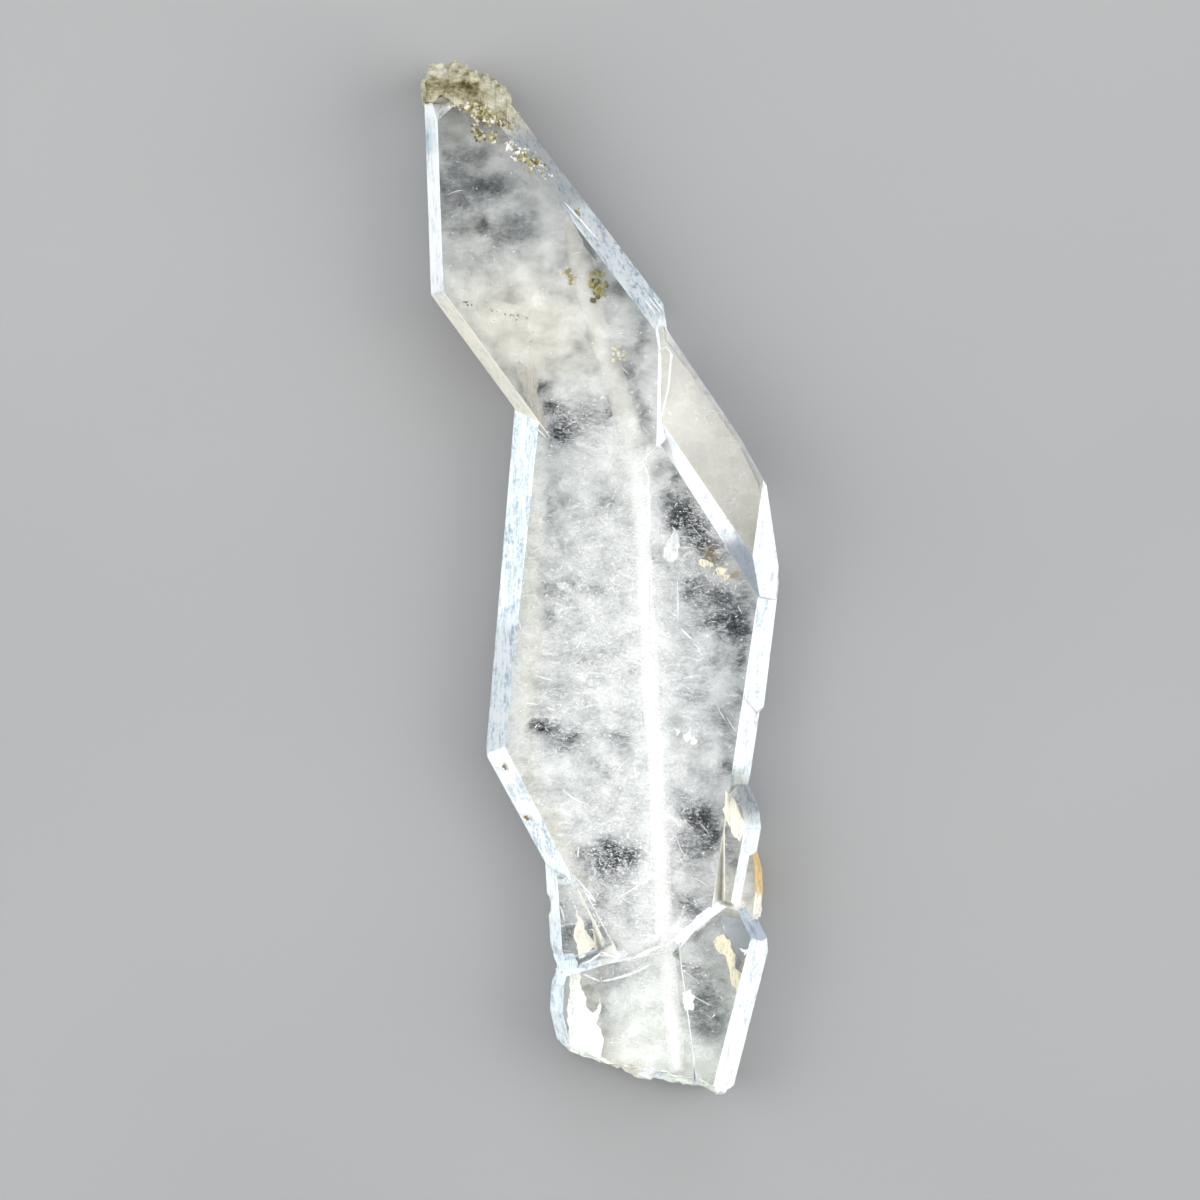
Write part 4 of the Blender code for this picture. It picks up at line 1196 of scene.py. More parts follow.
def gather(whole, copies, layer_name="tone"):
    """Add copies in small batches, because a bmesh gets slower as it grows."""
    for start in range(0, len(copies), BATCH):
        batch = bmesh.new()
        layer = batch.verts.layers.float_color.new(layer_name)
        for shape, matrix, bow, tone in copies[start:start + BATCH]:
            first = len(batch.verts)
            batch.from_mesh(shape)
            batch.verts.ensure_lookup_table()
            for vert in batch.verts[first:]:
                vert.co = (matrix @ vert.co + bow * (1.0 - vert.co.z ** 2)) * MM
                vert[layer] = tone
        append(whole, batch)
    return whole


def sown_place(draw):
    """A random place inside the quartz where the flecks are crisp."""
    while True:
        x, y, z = [draw.uniform(low, high) for low, high in zip(SOWN_FROM, SOWN_TO)]
        if not is_inside(x, y, z + ROOF):
            continue
        if on_wing(x, y) and draw.random() > WING_SHARE:
            continue
        # Slivers are sown more often in the painted dark windows.
        dark = DARK_SHARE + (1.0 - DARK_SHARE) * soft_sum(x, y, PAINTED_DARK_CELLS)
        if draw.random() < STRAY_SHARE + (1.0 - STRAY_SHARE) * soft_sum(x, y, CRISP) * dark:
            return x, y, z


def sow_slivers():
    draw = random.Random(SLIVER_SEED)
    copies = []
    for _ in range(SLIVERS):
        place = sown_place(draw)
        length = SHORTEST_SLIVER + SLIVER_SPARE * draw.random() ** LONG_ONES_RARE
        lean = SLIVER_TURNS if draw.random() < SLIVER_TURN_SHARE else OTHER_SLIVER_TURNS
        turn = math.radians(draw.gauss(*lean))
        copies.append(sliver(place, length, draw.uniform(*SLIVER_WIDTHS), turn))
    for _ in range(HAIRS):
        x, y, z = sown_place(draw)
        length = draw.uniform(*HAIR_LENGTHS)
        lean = RIGHT_HAIR_TURNS if x > thread_at(y)[0] else LEFT_HAIR_TURNS
        turn = math.radians(draw.gauss(*lean))
        reach = Vector((math.cos(turn), math.sin(turn))) * length / 2
        if is_inside(x + reach.x, y + reach.y, z) and is_inside(x - reach.x, y - reach.y, z):
            bow = draw.uniform(-HAIR_BOW, HAIR_BOW) * length
            copies.append(hair((x, y, z), length, draw.uniform(*HAIR_WIDTHS), turn, bow))
    return gather(bmesh.new(), copies)


def fleck_material():
    material, tree, output = new_material("fleck_white")
    veil_shader(tree, output, ramp(tree, pattern(tree, CLOUDS, FLECK_GRAIN), FLECK_TONES), 1.0)
    return material


fleck_white = fleck_material()
bm = sow_slivers()
print("sliver faces:", len(bm.faces))
slivers = add_piece("white_slivers", bm, fleck_white, smooth=True)
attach(slivers, BODY)

# %% [markdown]
# Larger healed cracks and inner crystal faces catch the light as whole patches, and the golden
# glints among them are painted highlights. Each is a small outline, rough along its rim, tilted a
# little and given a wall. The strands are thin white hairs: along a step, the rim of the notch and
# the edges of crystals they are painted highlights, and elsewhere they are healed cracks and the
# ragged seam where the foot joins on.

# %% Inner faces, in millimetres
GLINT_TONES = {
    "white": (0.96, 0.97, 0.98), "cream": (0.95, 0.91, 0.79), "gold": (0.98, 0.90, 0.72),
    "bronze": (0.50, 0.42, 0.28), "stone": (0.56, 0.54, 0.49), "painted_dark": (0.22, 0.22, 0.23),
    "slate": (0.46, 0.50, 0.54), "lilac": (0.90, 0.91, 0.97), "ice": (0.76, 0.85, 0.91),
    "olive": (0.36, 0.33, 0.14), "moss": (0.15, 0.13, 0.045), "tan": (0.60, 0.56, 0.43),
    "pale": (0.84, 0.82, 0.73), "rust": (0.30, 0.20, 0.10), "ivory": (0.97, 0.965, 0.91),
    "straw": (0.86, 0.80, 0.61),
}
INNER_FACES = [
    # (tone, how solid, height, outline)
    # leaf-shaped edge of the top crystal: a grey-beige band of painted shade along it
    ("stone", 0.60, 4.60, [(-5.71, 14.35), (-5.37, 14.62), (-4.76, 13.94), (-4.35, 13.06),
        (-4.01, 11.76), (-3.67, 10.40), (-3.54, 9.45), (-4.01, 9.86), (-4.69, 11.22), (-5.30, 12.72)]),
    # painted shade beside the step
    ("painted_dark", 0.55, 4.90, [(-2.18, 24.62), (-1.56, 24.14), (-0.54, 22.58), (-0.14, 21.42),
        (-0.68, 21.90), (-1.56, 23.26)]),
    # bright flaw in the wedge
    ("white", 0.95, 3.60, [(5.03, 3.40), (5.24, 2.86), (5.37, 1.97), (5.17, 1.16), (4.62, 0.95),
        (4.28, 1.43), (4.42, 2.18), (4.83, 2.72)]),
    # golden glints, painted highlights
    ("gold", 0.95, 3.60, [(6.80, 1.02), (7.21, 1.16), (7.48, 0.88), (7.14, 0.54), (6.87, 0.68)]),
    ("gold", 0.90, 3.70, [(7.41, 0.95), (7.75, 0.95), (7.68, 0.68), (7.41, 0.61)]),
    ("gold", 1.00, 3.60, [(7.82, 0.54), (8.16, 0.75), (8.50, 0.54), (8.43, 0.14), (8.02, 0.07)]),
    ("gold", 0.95, 3.50, [(8.43, 0.14), (8.84, 0.20), (8.77, -0.14), (8.43, -0.20)]),
    ("bronze", 0.45, 3.40, [(8.70, 0.07), (9.25, 0.48), (9.52, 0.34), (9.04, -0.14)]),
    ("bronze", 0.25, 3.40, [(6.80, 1.77), (7.75, 2.18), (8.30, 1.36), (7.48, 0.95)]),
    # cluster right of the thread
    ("white", 0.90, 3.60, [(5.64, -10.61), (6.12, -10.47), (6.32, -10.88), (5.98, -11.22),
        (5.64, -11.02)]),
    ("white", 0.90, 3.80, [(6.26, -10.74), (6.60, -10.95), (6.46, -11.42), (6.12, -11.29)]),
    ("white", 0.80, 3.50, [(5.03, -10.34), (5.37, -10.47), (5.17, -10.74)]),
    # inner face of the small crystal
    ("cream", 1.00, 4.85, [(8.57, -14.48), (8.91, -14.82), (9.86, -16.59), (9.59, -17.95),
        (9.11, -17.61), (8.23, -15.78)]),
    # under the stained lobe
    ("cream", 0.95, 3.30, [(8.77, -21.49), (9.52, -21.28), (9.86, -22.30), (10.34, -21.96),
        (10.68, -20.94), (10.95, -21.62), (10.88, -22.98), (10.34, -23.46), (9.38, -22.92),
        (8.64, -22.30)]),
    # corner of the right foot
    ("slate", 0.38, 4.40, [(8.09, -22.85), (9.18, -23.05), (10.34, -23.60), (10.68, -24.55),
        (10.06, -25.36), (9.59, -26.18), (9.04, -25.23), (8.43, -24.00)]),
    ("white", 1.00, 4.60, [(9.38, -25.16), (10.06, -25.16), (9.86, -25.57)]),
    # cream ridge of the right foot
    ("straw", 0.85, 4.50, [(7.62, -24.68), (8.30, -24.14), (8.77, -24.55), (8.91, -25.36),
        (9.25, -26.18), (9.45, -27.27), (9.25, -28.08), (8.84, -27.06), (8.43, -25.70),
        (7.75, -25.09)]),
    # painted shade, over a dark window beside the ridge
    ("painted_dark", 0.85, 4.60, [(9.11, -25.36), (9.59, -26.18), (9.59, -26.86), (9.32, -26.45)]),
    # wedge over the junction
    ("lilac", 1.00, 4.75, [(7.48, -22.24), (7.62, -22.64), (7.07, -23.60), (6.12, -24.34),
        (5.30, -24.89), (4.96, -24.48), (6.12, -23.46), (6.87, -22.71)]),
    # cream face of the lower left crystal
    ("cream", 0.95, 3.80, [(-1.70, -22.44), (-1.36, -23.12), (-0.88, -24.00), (-0.41, -25.02),
        (-0.88, -25.50), (-1.50, -26.04), (-1.56, -25.02), (-1.77, -24.28), (-1.56, -23.32)]),
    ("white", 1.00, 3.90, [(-3.20, -20.67), (-2.31, -20.33), (-1.97, -20.06), (-1.63, -20.40),
        (-1.36, -21.01), (-1.90, -20.81), (-2.72, -20.88)]),
    # top of the left foot
    ("ice", 0.85, 3.90, [(-3.06, -25.57), (-1.90, -25.57), (-1.50, -26.59), (-2.92, -26.59)]),
    # bright column of the left foot
    ("ivory", 0.95, 4.30, [(-1.90, -26.60), (-1.36, -26.80), (-1.26, -28.10), (-0.98, -28.40),
        (-0.86, -29.00), (-0.50, -29.70), (-0.20, -29.10), (0.06, -28.50), (0.00, -29.40), (-0.17, -30.33),
        (0.14, -31.28), (0.07, -32.90), (-1.90, -32.20), (-2.28, -30.12), (-2.18, -28.29)]),
    # flaw of the right foot
    ("white", 0.90, 4.20, [(5.58, -28.08), (6.12, -27.88), (6.46, -28.42), (6.32, -29.17),
        (5.85, -29.38), (5.64, -28.76)]),
]
# White hairs: painted highlights along steps, rims and edges, and real white healed cracks and seams.
BRIGHT_STRANDS = [
    # (one end, other end, width, bow, height)
    # step near the tip
    ((-2.45, 25.36), (-0.14, 22.78), 0.11, 0.00, 5.70),
    # striations at the shoulder
    ((3.06, 18.70), (3.74, 17.75), 0.10, 0.00, 5.60),
    ((3.33, 18.84), (4.08, 17.88), 0.10, 0.00, 5.40),
    ((3.60, 18.90), (4.28, 18.02), 0.09, 0.00, 5.20),
    # tail of the leaf
    ((-4.62, 10.40), (-3.60, 9.38), 0.11, 0.00, 4.90),
    # rim of the notch
    ((3.40, 8.43), (2.92, 7.82), 0.14, 0.00, 4.40),
    ((2.92, 7.75), (3.33, 6.60), 0.16, 0.07, 4.40),
    ((3.40, 6.46), (3.33, 1.97), 0.12, 0.00, 4.60),
    # healed cracks of the middle crystal
    ((-2.58, -14.35), (-0.88, -15.37), 0.10, -0.14, 4.00),
    ((1.22, -21.76), (3.67, -20.26), 0.10, 0.00, 4.10),
    ((-5.71, -2.24), (-5.58, -2.79), 0.11, 0.00, 4.20),
    ((-5.58, -2.79), (-5.85, -3.20), 0.10, 0.00, 4.20),
    ((-5.58, -2.79), (-5.37, -3.47), 0.10, 0.00, 4.20),
    ((5.24, -0.14), (5.30, -3.06), 0.08, 0.00, 4.00),
    ((5.44, -3.47), (6.26, -4.28), 0.14, 0.00, 4.00),
    ((-5.03, -8.50), (-4.22, -8.64), 0.11, 0.00, 4.20),
    ((-3.60, -8.84), (-2.99, -9.04), 0.12, 0.00, 4.20),
    ((-4.42, -6.66), (-3.20, -7.00), 0.11, 0.00, 4.20),
    ((2.31, -12.78), (2.52, -13.67), 0.16, 0.00, 4.00),
    ((-1.50, -19.04), (-1.43, -18.22), 0.12, 0.00, 4.00),
    # edges of the lower left crystal
    ((-1.97, -19.99), (-0.27, -21.96), 0.11, 0.00, 4.20),
    ((-1.02, -21.42), (-0.27, -22.03), 0.16, 0.00, 4.20),
    # bright strands of the junction
    ((0.00, -25.36), (2.31, -25.98), 0.16, -0.14, 4.30),
    ((2.18, -25.91), (4.35, -24.96), 0.27, 0.07, 4.30),
    ((-3.06, -26.59), (-1.22, -26.86), 0.20, 0.00, 4.00),
    ((-1.22, -26.86), (0.00, -27.40), 0.16, 0.00, 4.20),
    ((0.00, -27.40), (3.54, -26.18), 0.20, -0.20, 4.00),
    ((-0.68, -26.04), (0.07, -25.50), 0.18, 0.00, 4.20),
    ((4.28, -25.09), (7.21, -23.05), 0.20, 0.00, 4.60),
    ((-2.72, -22.24), (-2.38, -23.39), 0.14, 0.00, 3.60),
]

# %% Make the inner faces and strands
GLINT_SEED = 3
GLINT_TILT = 0.16
GLINT_THICK = 0.03
RIM_CUTS = 4
RIM_ROUGH, RIM_WAVES = 0.20, 1.6
NOTCH_SHARE, NOTCH_WAVES = 0.6, 5.0
RIM_FADE = 0.20
STRAND_SOLID = 0.95
PATCH_TONES = [(0.0, (0.76, 0.77, 0.79)), (0.55, (1.0, 1.0, 1.0))]
PATCH_STREAK_GRAIN, PATCH_CRUMB_GRAIN = 2.2, 2.6
STREAK_SHARE, CRUMB_SHARE = 0.6, 0.4
PATCH_WORN, PATCH_COVER = (0.15, 0.50), (0.62, 1.0)


def inner_face(outline, height, lean, tone, solid):
    """One thin patch with a ragged rim that fades out."""
    bm = bmesh.new()
    layer = bm.verts.layers.float_color.new("glint")
    patch = bm.faces.new([bm.verts.new((x, y, height)) for x, y in outline])
    patch.normal_update()
    if patch.normal.z < 0.0:
        patch.normal_flip()
    bmesh.ops.subdivide_edges(bm, edges=patch.edges[:], cuts=RIM_CUTS)
    middle = patch.calc_center_median()
    for vert in patch.verts:
        push = noise.noise_vector(vert.co * RIM_WAVES) * RIM_ROUGH
        push += noise.noise_vector(vert.co * NOTCH_WAVES) * RIM_ROUGH * NOTCH_SHARE
        rise = lean.x * (vert.co.x - middle.x) + lean.y * (vert.co.y - middle.y)
        vert.co += Vector((push.x, push.y, rise))
    bmesh.ops.inset_region(bm, faces=[patch], thickness=RIM_FADE, use_even_offset=False)
    for vert in bm.verts:
        vert[layer] = (*tone, 0.0)
    for vert in patch.verts:
        vert[layer] = (*tone, solid)
    bmesh.ops.scale(bm, vec=(MM, MM, MM), verts=bm.verts[:])
    draw_out(bm, bm.faces[:], (0.0, 0.0, -GLINT_THICK))
    return bm


def inner_faces():
    draw = random.Random(GLINT_SEED)
    whole = bmesh.new()
    whole.verts.layers.float_color.new("glint")
    for tone, solid, height, outline in INNER_FACES:
        lean = Vector((draw.uniform(-GLINT_TILT, GLINT_TILT), draw.uniform(-GLINT_TILT, GLINT_TILT)))
        append(whole, inner_face(outline, height, lean, GLINT_TONES[tone], solid))
    copies = []
    tone = (*GLINT_TONES["white"], STRAND_SOLID)
    for start, end, width, bow, height in BRIGHT_STRANDS:
        across = Vector(end) - Vector(start)
        middle = (Vector(start) + Vector(end)) / 2
        turn = math.atan2(across.y, across.x)
        copies.append(hair((middle.x, middle.y, height), across.length, width, turn, bow, tone))
    return gather(whole, copies, "glint")


def glint_material():
    material, tree, output = new_material("inner_face")
    tone, solid = painted(tree, "glint")
    marks = pattern(tree, STREAKS, PATCH_STREAK_GRAIN)
    crumbs = pattern(tree, FLECKS, PATCH_CRUMB_GRAIN)
    colour = blend(tree, 1.0, tone, ramp(tree, marks, PATCH_TONES), "MULTIPLY")
    worn = calc(tree, "MULTIPLY_ADD", crumbs, CRUMB_SHARE, calc(tree, "MULTIPLY", marks, STREAK_SHARE))
    cover = calc(tree, "MULTIPLY", solid, spread(tree, worn, *PATCH_WORN, *PATCH_COVER))
    veil_shader(tree, output, colour, cover, PATCH_SHADOW)
    return material


bm = inner_faces()
print("inner face faces:", len(bm.faces))
glints = add_piece("inner_faces", bm, glint_material())
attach(glints, BODY)

# %% [markdown]
# ## Bright prism faces
#
# The slanted sides of the crystals look white, because they are striated and throw the light back
# inside the quartz. A thin film just under each slanted face paints that look in: its white is
# partly the faces' own frosting and partly painted reflection of that light, and its greys are
# painted shade where a dark ground shows through a face. The face of a slightly smaller body is
# copied, cut into short lengths, drawn in from its edges and given a wall. Each length takes the
# finish of the nearest place in a short list, and a place counts most on the face it lies on, so
# two faces can meet in a crisp edge. The broken foot is frosted all over, so its small faces stay
# joined.

# %% Finishes and painted light of the prism faces
FILM_INSET = 0.03
FILM_MARGIN = 0.012
FILM_THICK = 0.02
FILM_LENGTH = 0.7
FILM_SHARPNESS = 4
OTHER_FACE_SHARE = 1e-5
STEEPEST_FLAT = 0.9
SAME_PLANE = 0.03
SAME_TILT = 0.9995
PLACE_SOFTNESS = 0.04
SKY = 20.0
LEAST_FILM_AREA = 0.10
BREAK_REACH = 1.3
# White tones are partly frosting and partly painted reflection; the greys are painted shade where a dark
# ground shows through.
FILM_TONES = {
    "white": (0.97, 0.985, 0.985), "streaked": (0.90, 0.945, 0.96), "mist": (0.74, 0.77, 0.79),
    "stone": (0.60, 0.60, 0.565), "cream": (0.95, 0.92, 0.82), "ice": (0.50, 0.64, 0.71),
    "steel": (0.37, 0.40, 0.45), "pale green": (0.93, 0.975, 0.88), "lilac": (0.62, 0.62, 0.67),
    "orange": (0.80, 0.60, 0.28), "blue grey": (0.58, 0.64, 0.72), "beige": (0.70, 0.67, 0.58),
    "pewter": (0.42, 0.44, 0.45),
}
FILM_PLACES = [
    # (x, y, tone, how solid the film is)
    (-9.4, 32.2, "stone", 0.70), (-10.4, 31.5, "stone", 0.75), (-11.6, 31.2, "white", 1.00),
    (-11.2, 30.0, "white", 1.00), (-11.8, 30.0, "ice", 0.90), (-11.2, 27.6, "white", 1.00),
    (-11.8, 27.6, "ice", 0.90), (-11.1, 25.0, "white", 1.00), (-11.8, 25.0, "ice", 0.90),
    (-11.0, 22.4, "white", 1.00), (-11.7, 22.4, "ice", 0.90), (-11.0, 20.4, "white", 0.95),
    (-5.4, 31.2, "beige", 0.60), (-4.6, 29.6, "pewter", 0.60), (-2.0, 26.6, "pewter", 0.66),
    (1.6, 21.4, "mist", 0.80), (3.5, 18.8, "mist", 0.85), (-0.2, 24.0, "mist", 0.62),
    (4.1, 16.5, "white", 1.00), (4.7, 13.9, "white", 1.00), (4.4, 11.8, "white", 1.00),
    (4.1, 10.9, "white", 1.00), (6.4, 14.0, "lilac", 0.80), (10.4, 7.7, "lilac", 0.80),
    (-7.1, 13.8, "cream", 1.00), (-6.3, 12.9, "cream", 1.00), (-9.6, 16.6, "cream", 1.00),
    (-2.6, 9.0, "mist", 0.40), (0.5, 8.1, "mist", 0.40), (3.8, 8.6, "white", 1.00),
    (3.0, 7.5, "white", 1.00), (11.5, 4.5, "white", 1.00), (11.5, 1.4, "white", 0.97),
    (11.4, -0.6, "white", 0.95), (5.2, 8.0, "white", 1.00), (7.0, 5.3, "white", 0.97),
    (8.4, 3.1, "white", 0.95), (9.2, 1.6, "steel", 1.00), (9.9, 0.5, "steel", 1.00),
    (10.5, -0.5, "steel", 1.00), (11.6, 0.4, "white", 0.95), (-5.7, 9.0, "streaked", 0.92),
    (-6.1, 3.5, "streaked", 0.90), (-6.5, -1.0, "streaked", 0.85), (-6.9, -5.0, "mist", 0.80),
    (-7.2, -9.5, "mist", 0.80), (-7.2, -11.2, "mist", 0.75), (-7.0, -12.4, "white", 1.00),
    (-6.3, -13.2, "white", 1.00), (-5.4, -14.7, "white", 0.92), (-4.3, -17.2, "white", 0.92),
    (-3.3, -19.8, "streaked", 0.92), (11.3, -2.0, "streaked", 0.93), (11.2, -5.5, "white", 0.94),
    (10.3, -9.5, "white", 0.97), (9.9, -12.4, "white", 0.94), (10.2, -8.7, "white", 0.90),
    (9.6, -14.1, "pewter", 0.90), (9.9, -14.9, "pewter", 0.90), (10.2, -15.4, "pewter", 0.90),
    (8.4, -18.0, "cream", 1.00), (8.9, -21.0, "cream", 1.00), (8.9, -14.2, "stone", 0.80),
    (8.7, -15.9, "cream", 0.95), (10.5, -17.2, "streaked", 1.00), (10.1, -18.9, "streaked", 1.00),
    (10.8, -19.2, "orange", 0.95), (10.9, -20.6, "orange", 0.95), (9.3, -19.9, "white", 0.95),
    (9.6, -21.6, "white", 1.00), (9.0, -22.2, "cream", 0.80), (10.8, -22.9, "cream", 0.95),
    (7.7, -22.7, "white", 0.95), (6.8, -23.4, "white", 0.90), (6.0, -24.3, "white", 0.90),
    (10.4, -23.6, "blue grey", 0.75), (11.2, -24.9, "white", 1.00), (0.2, -24.9, "cream", 0.60),
    (-3.1, -21.6, "white", 0.93), (-3.0, -24.2, "streaked", 0.85), (-2.8, -25.8, "streaked", 0.80),
    (-1.1, -25.8, "streaked", 0.80), (-1.8, -26.3, "white", 0.90), (2.0, -25.7, "white", 0.80),
    (4.9, -26.1, "cream", 0.60), (-3.0, -27.2, "streaked", 0.92), (-3.0, -28.6, "streaked", 0.92),
    (-2.7, -31.2, "streaked", 0.88), (5.3, -26.5, "white", 1.00), (6.2, -31.0, "white", 1.00),
    (6.5, -33.4, "white", 1.00), (9.9, -28.5, "white", 0.96), (8.4, -34.6, "white", 1.00),
    (7.2, -34.6, "pale green", 1.00), (5.2, -34.2, "pale green", 1.00), (2.0, -33.6, "cream", 1.00),
    (-0.6, -32.8, "pale green", 1.00), (-2.4, -32.2, "white", 1.00), (0.6, -33.4, "cream", 1.00),
    (3.6, -34.0, "white", 1.00),
]


def film_finish_and_light(x, y, own):
    """The finishes and painted light of the places round about. Places on the same face count by far the
    most.
    """
    mixed = Vector((0.0, 0.0, 0.0, 0.0))
    total = 0.0
    for number, (place_x, place_y, tone, solid) in enumerate(FILM_PLACES):
        share = (PLACE_SOFTNESS + (place_x - x) ** 2 + (place_y - y) ** 2) ** -FILM_SHARPNESS
        if number not in own:
            share *= OTHER_FACE_SHARE
        mixed += Vector((*FILM_TONES[tone], solid)) * share
        total += share
    return mixed / total


def places_by_plane(bm):
    """The planes of the faces that the listed places lie on, each with its places."""
    bm.faces.index_update()
    bm.faces.ensure_lookup_table()
    tree = BVHTree.FromBMesh(bm)
    found = {}
    for number, (x, y, _, _) in enumerate(FILM_PLACES):
        index = tree.ray_cast(Vector((x, y, SKY)) * MM, DOWN)[2]
        if index is not None and bm.faces[index].normal.z < STEEPEST_FLAT:
            found.setdefault(index, set()).add(number)
    faces = [(bm.faces[index], own) for index, own in found.items()]
    return [(face.normal.copy(), face.verts[0].co.copy(), own) for face, own in faces]


def own_places(face, planes):
    """The listed places that share a face's plane."""
    own = set()
    for normal, point, places in planes:
        off_plane = abs(normal.dot(face.verts[0].co - point))
        if normal.dot(face.normal) > SAME_TILT and off_plane < SAME_PLANE * MM:
            own |= places
    return own


def is_broken(face):
    """True for the small faces of the broken foot."""
    middle = face.calc_center_median() / MM
    return middle.y < level_on(BREAK_LINE, middle.x) + BREAK_REACH


# %% Frosted films with painted reflection under the slanted faces
STROKE_GRAIN, FROST_GRAIN, FROST_CLOUD_GRAIN = 1.3, 2.4, 0.7
STROKE_SHARE, FROST_SHARE, FROST_CLOUD_SHARE = 0.42, 0.32, 0.26
SOLID_FILM, STREAKED_FILM = (1.0, 0.90), (0.35, 1.0)
FROST_WORN, FROST_COVER = (0.2, 0.45), (0.85, 1.0)
FROST_TONES = [
    (0.20, (0.42, 0.49, 0.57)), (0.37, (0.66, 0.73, 0.79)), (0.47, (0.90, 0.94, 0.96)),
    (0.57, (1.0, 1.0, 1.0)),
]


def frost_and_reflection_film_material():
    material, tree, output = new_material("frost_and_reflection_film")
    tone, alpha = painted(tree, "film")
    strokes = calc(tree, "MULTIPLY", pattern(tree, STREAKS, STROKE_GRAIN), STROKE_SHARE)
    fine = calc(tree, "MULTIPLY_ADD", pattern(tree, FLECKS, FROST_GRAIN), FROST_SHARE, strokes)
    clouds = pattern(tree, CLOUDS, FROST_CLOUD_GRAIN)
    worn = calc(tree, "MULTIPLY_ADD", clouds, FROST_CLOUD_SHARE, fine)
    streaked = spread(tree, alpha, *SOLID_FILM, *STREAKED_FILM)
    shade = blend(tree, streaked, PLAIN_TONE, ramp(tree, worn, FROST_TONES))
    colour = blend(tree, 1.0, tone, shade, "MULTIPLY")
    solid = calc(tree, "MULTIPLY", alpha, spread(tree, worn, *FROST_WORN, *FROST_COVER))
    veil_shader(tree, output, colour, solid, FILM_SHADOW)
    return material


def cut_in_lengths(bm, length):
    """Divide the faces along evenly spaced planes across the thread."""
    low = min(vert.co.y for vert in bm.verts) / MM
    high = max(vert.co.y for vert in bm.verts) / MM
    for step in range(1, math.ceil((high - low) / length)):
        bmesh.ops.bisect_plane(
            bm, geom=everything(bm), dist=SAME_PLACE,
            plane_co=(0.0, (low + step * length) * MM, 0.0), plane_no=(0.0, 1.0, 0.0),
        )


def thicken(bm, wall):
    """Give open faces a wall that reaches inwards, by no more than the wall at any corner."""
    swept = bmesh.ops.extrude_face_region(bm, geom=bm.faces[:], use_keep_orig=True)
    bm.normal_update()
    for part in swept["geom"]:
        if isinstance(part, bmesh.types.BMVert):
            part.co -= part.normal * wall * MM
    bmesh.ops.recalc_face_normals(bm, faces=bm.faces[:])


def frost_and_reflection_films():
    bm = grown_body(FILM_INSET)
    bm.normal_update()
    planes = places_by_plane(bm)
    flat = [
        face for face in bm.faces
        if abs(face.normal.z) > STEEPEST_FLAT
        or (face.calc_area() < LEAST_FILM_AREA * MM * MM and not is_broken(face))
    ]
    bmesh.ops.delete(bm, geom=flat, context="FACES")
    sides = [face for face in bm.faces if not is_broken(face)]
    bmesh.ops.split_edges(bm, edges=list(dict.fromkeys(edge for face in sides for edge in face.edges)))
    rims = bmesh.ops.inset_individual(bm, faces=sides, thickness=FILM_MARGIN * MM)
    bmesh.ops.delete(bm, geom=rims["faces"], context="FACES")
    cut_in_lengths(bm, FILM_LENGTH)
    bm.normal_update()
    layer = bm.verts.layers.float_color.new("film")
    for vert in bm.verts:
        own = own_places(vert.link_faces[0], planes) if vert.link_faces else set()
        vert[layer] = film_finish_and_light(vert.co.x / MM, vert.co.y / MM, own)
    thicken(bm, FILM_THICK)
    print("faces with places of their own:", len(planes))
    print("film faces:", len(bm.faces))
    return bm


films = add_piece("frost_and_reflection_films", frost_and_reflection_films(), frost_and_reflection_film_material())
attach(films, BODY)

# %% [markdown]
# ## The thread
#
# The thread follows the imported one, and is made from the same route. A curve gives a round tube,
# which is then made a mesh and roughened a little. The real thread is a stack of thin crosswise
# seams, so hundreds of fine slivers lie across it and blur its edges. Where it meets a crack, it
# bursts into a fan of them.

# %% Thread
THREAD_STEPS = 36
THREAD_CURVE_STEPS = 6
THREAD_ROUGH = 0.035
THREAD_SEAMS = (1.4, 2.2, 1.4)
THREAD_GRAINS = (6.0, 9.0, 6.0)
THREAD_GRAIN_SHARE = 0.6
FRINGE_SEED = 5
FRINGE = 2200
FRINGE_FOOT = 0.3
FRINGE_LENGTHS = (0.25, 0.95)
FRINGE_SPREAD = 0.62
FRINGE_DEPTH = 0.3
FRINGE_TURNS = (6.0, 16.0)
FRINGE_WIDTHS = (0.04, 0.08)
FAN_LENGTHS = (0.25, 1.0)
FAN_WIDTHS = (0.06, 0.16)
# Above the notch the thread is painted darker, as painted shade for lying deep in the top crystal.
THREAD_DULL_FROM = 7.5
THREAD_DULL_TO = 11.0
SEAM_GRAIN = 2.2
SEAM_BUMP, SEAM_BUMP_DEPTH = 0.3, 0.1
THREAD_WHITE = [(0.0, (0.93, 0.935, 0.92)), (0.5, (0.99, 0.99, 0.975))]
THREAD_SHADED = [(0.0, (0.55, 0.545, 0.50)), (0.6, (0.65, 0.645, 0.595))]
THREAD_FANS = [
    # (x, y, z, first turn, last turn, slivers, longest), degrees and millimetres
    (2.6, 8.3, 3.1, 150, 260, 60, 2.0), (3.0, 8.4, 3.3, 20, 60, 20, 1.0),
    (4.3, -24.4, 3.1, 165, 215, 50, 2.2), (4.4, -24.3, 3.1, 10, 50, 50, 2.2),
    (2.0, -25.5, 3.6, 172, 214, 40, 2.8), (-0.6, -26.0, 3.6, 196, 250, 30, 1.2),
]


def smooth_route(points, steps):
    """Catmull-Rom points through the route, so that the thread has no corners."""
    padded = [points[0]] + points + [points[-1]]
    result = []
    for index in range(len(points) - 1):
        before, start, end, after = padded[index:index + 4]
        for step in range(steps):
            t = step / steps
            result.append(tuple(
                0.5 * (2 * b + (c - a) * t + (2 * a - 5 * b + 4 * c - d) * t ** 2
                       + (3 * b - a - 3 * c + d) * t ** 3)
                for a, b, c, d in zip(before, start, end, after)
            ))
    result.append(points[-1])
    return result


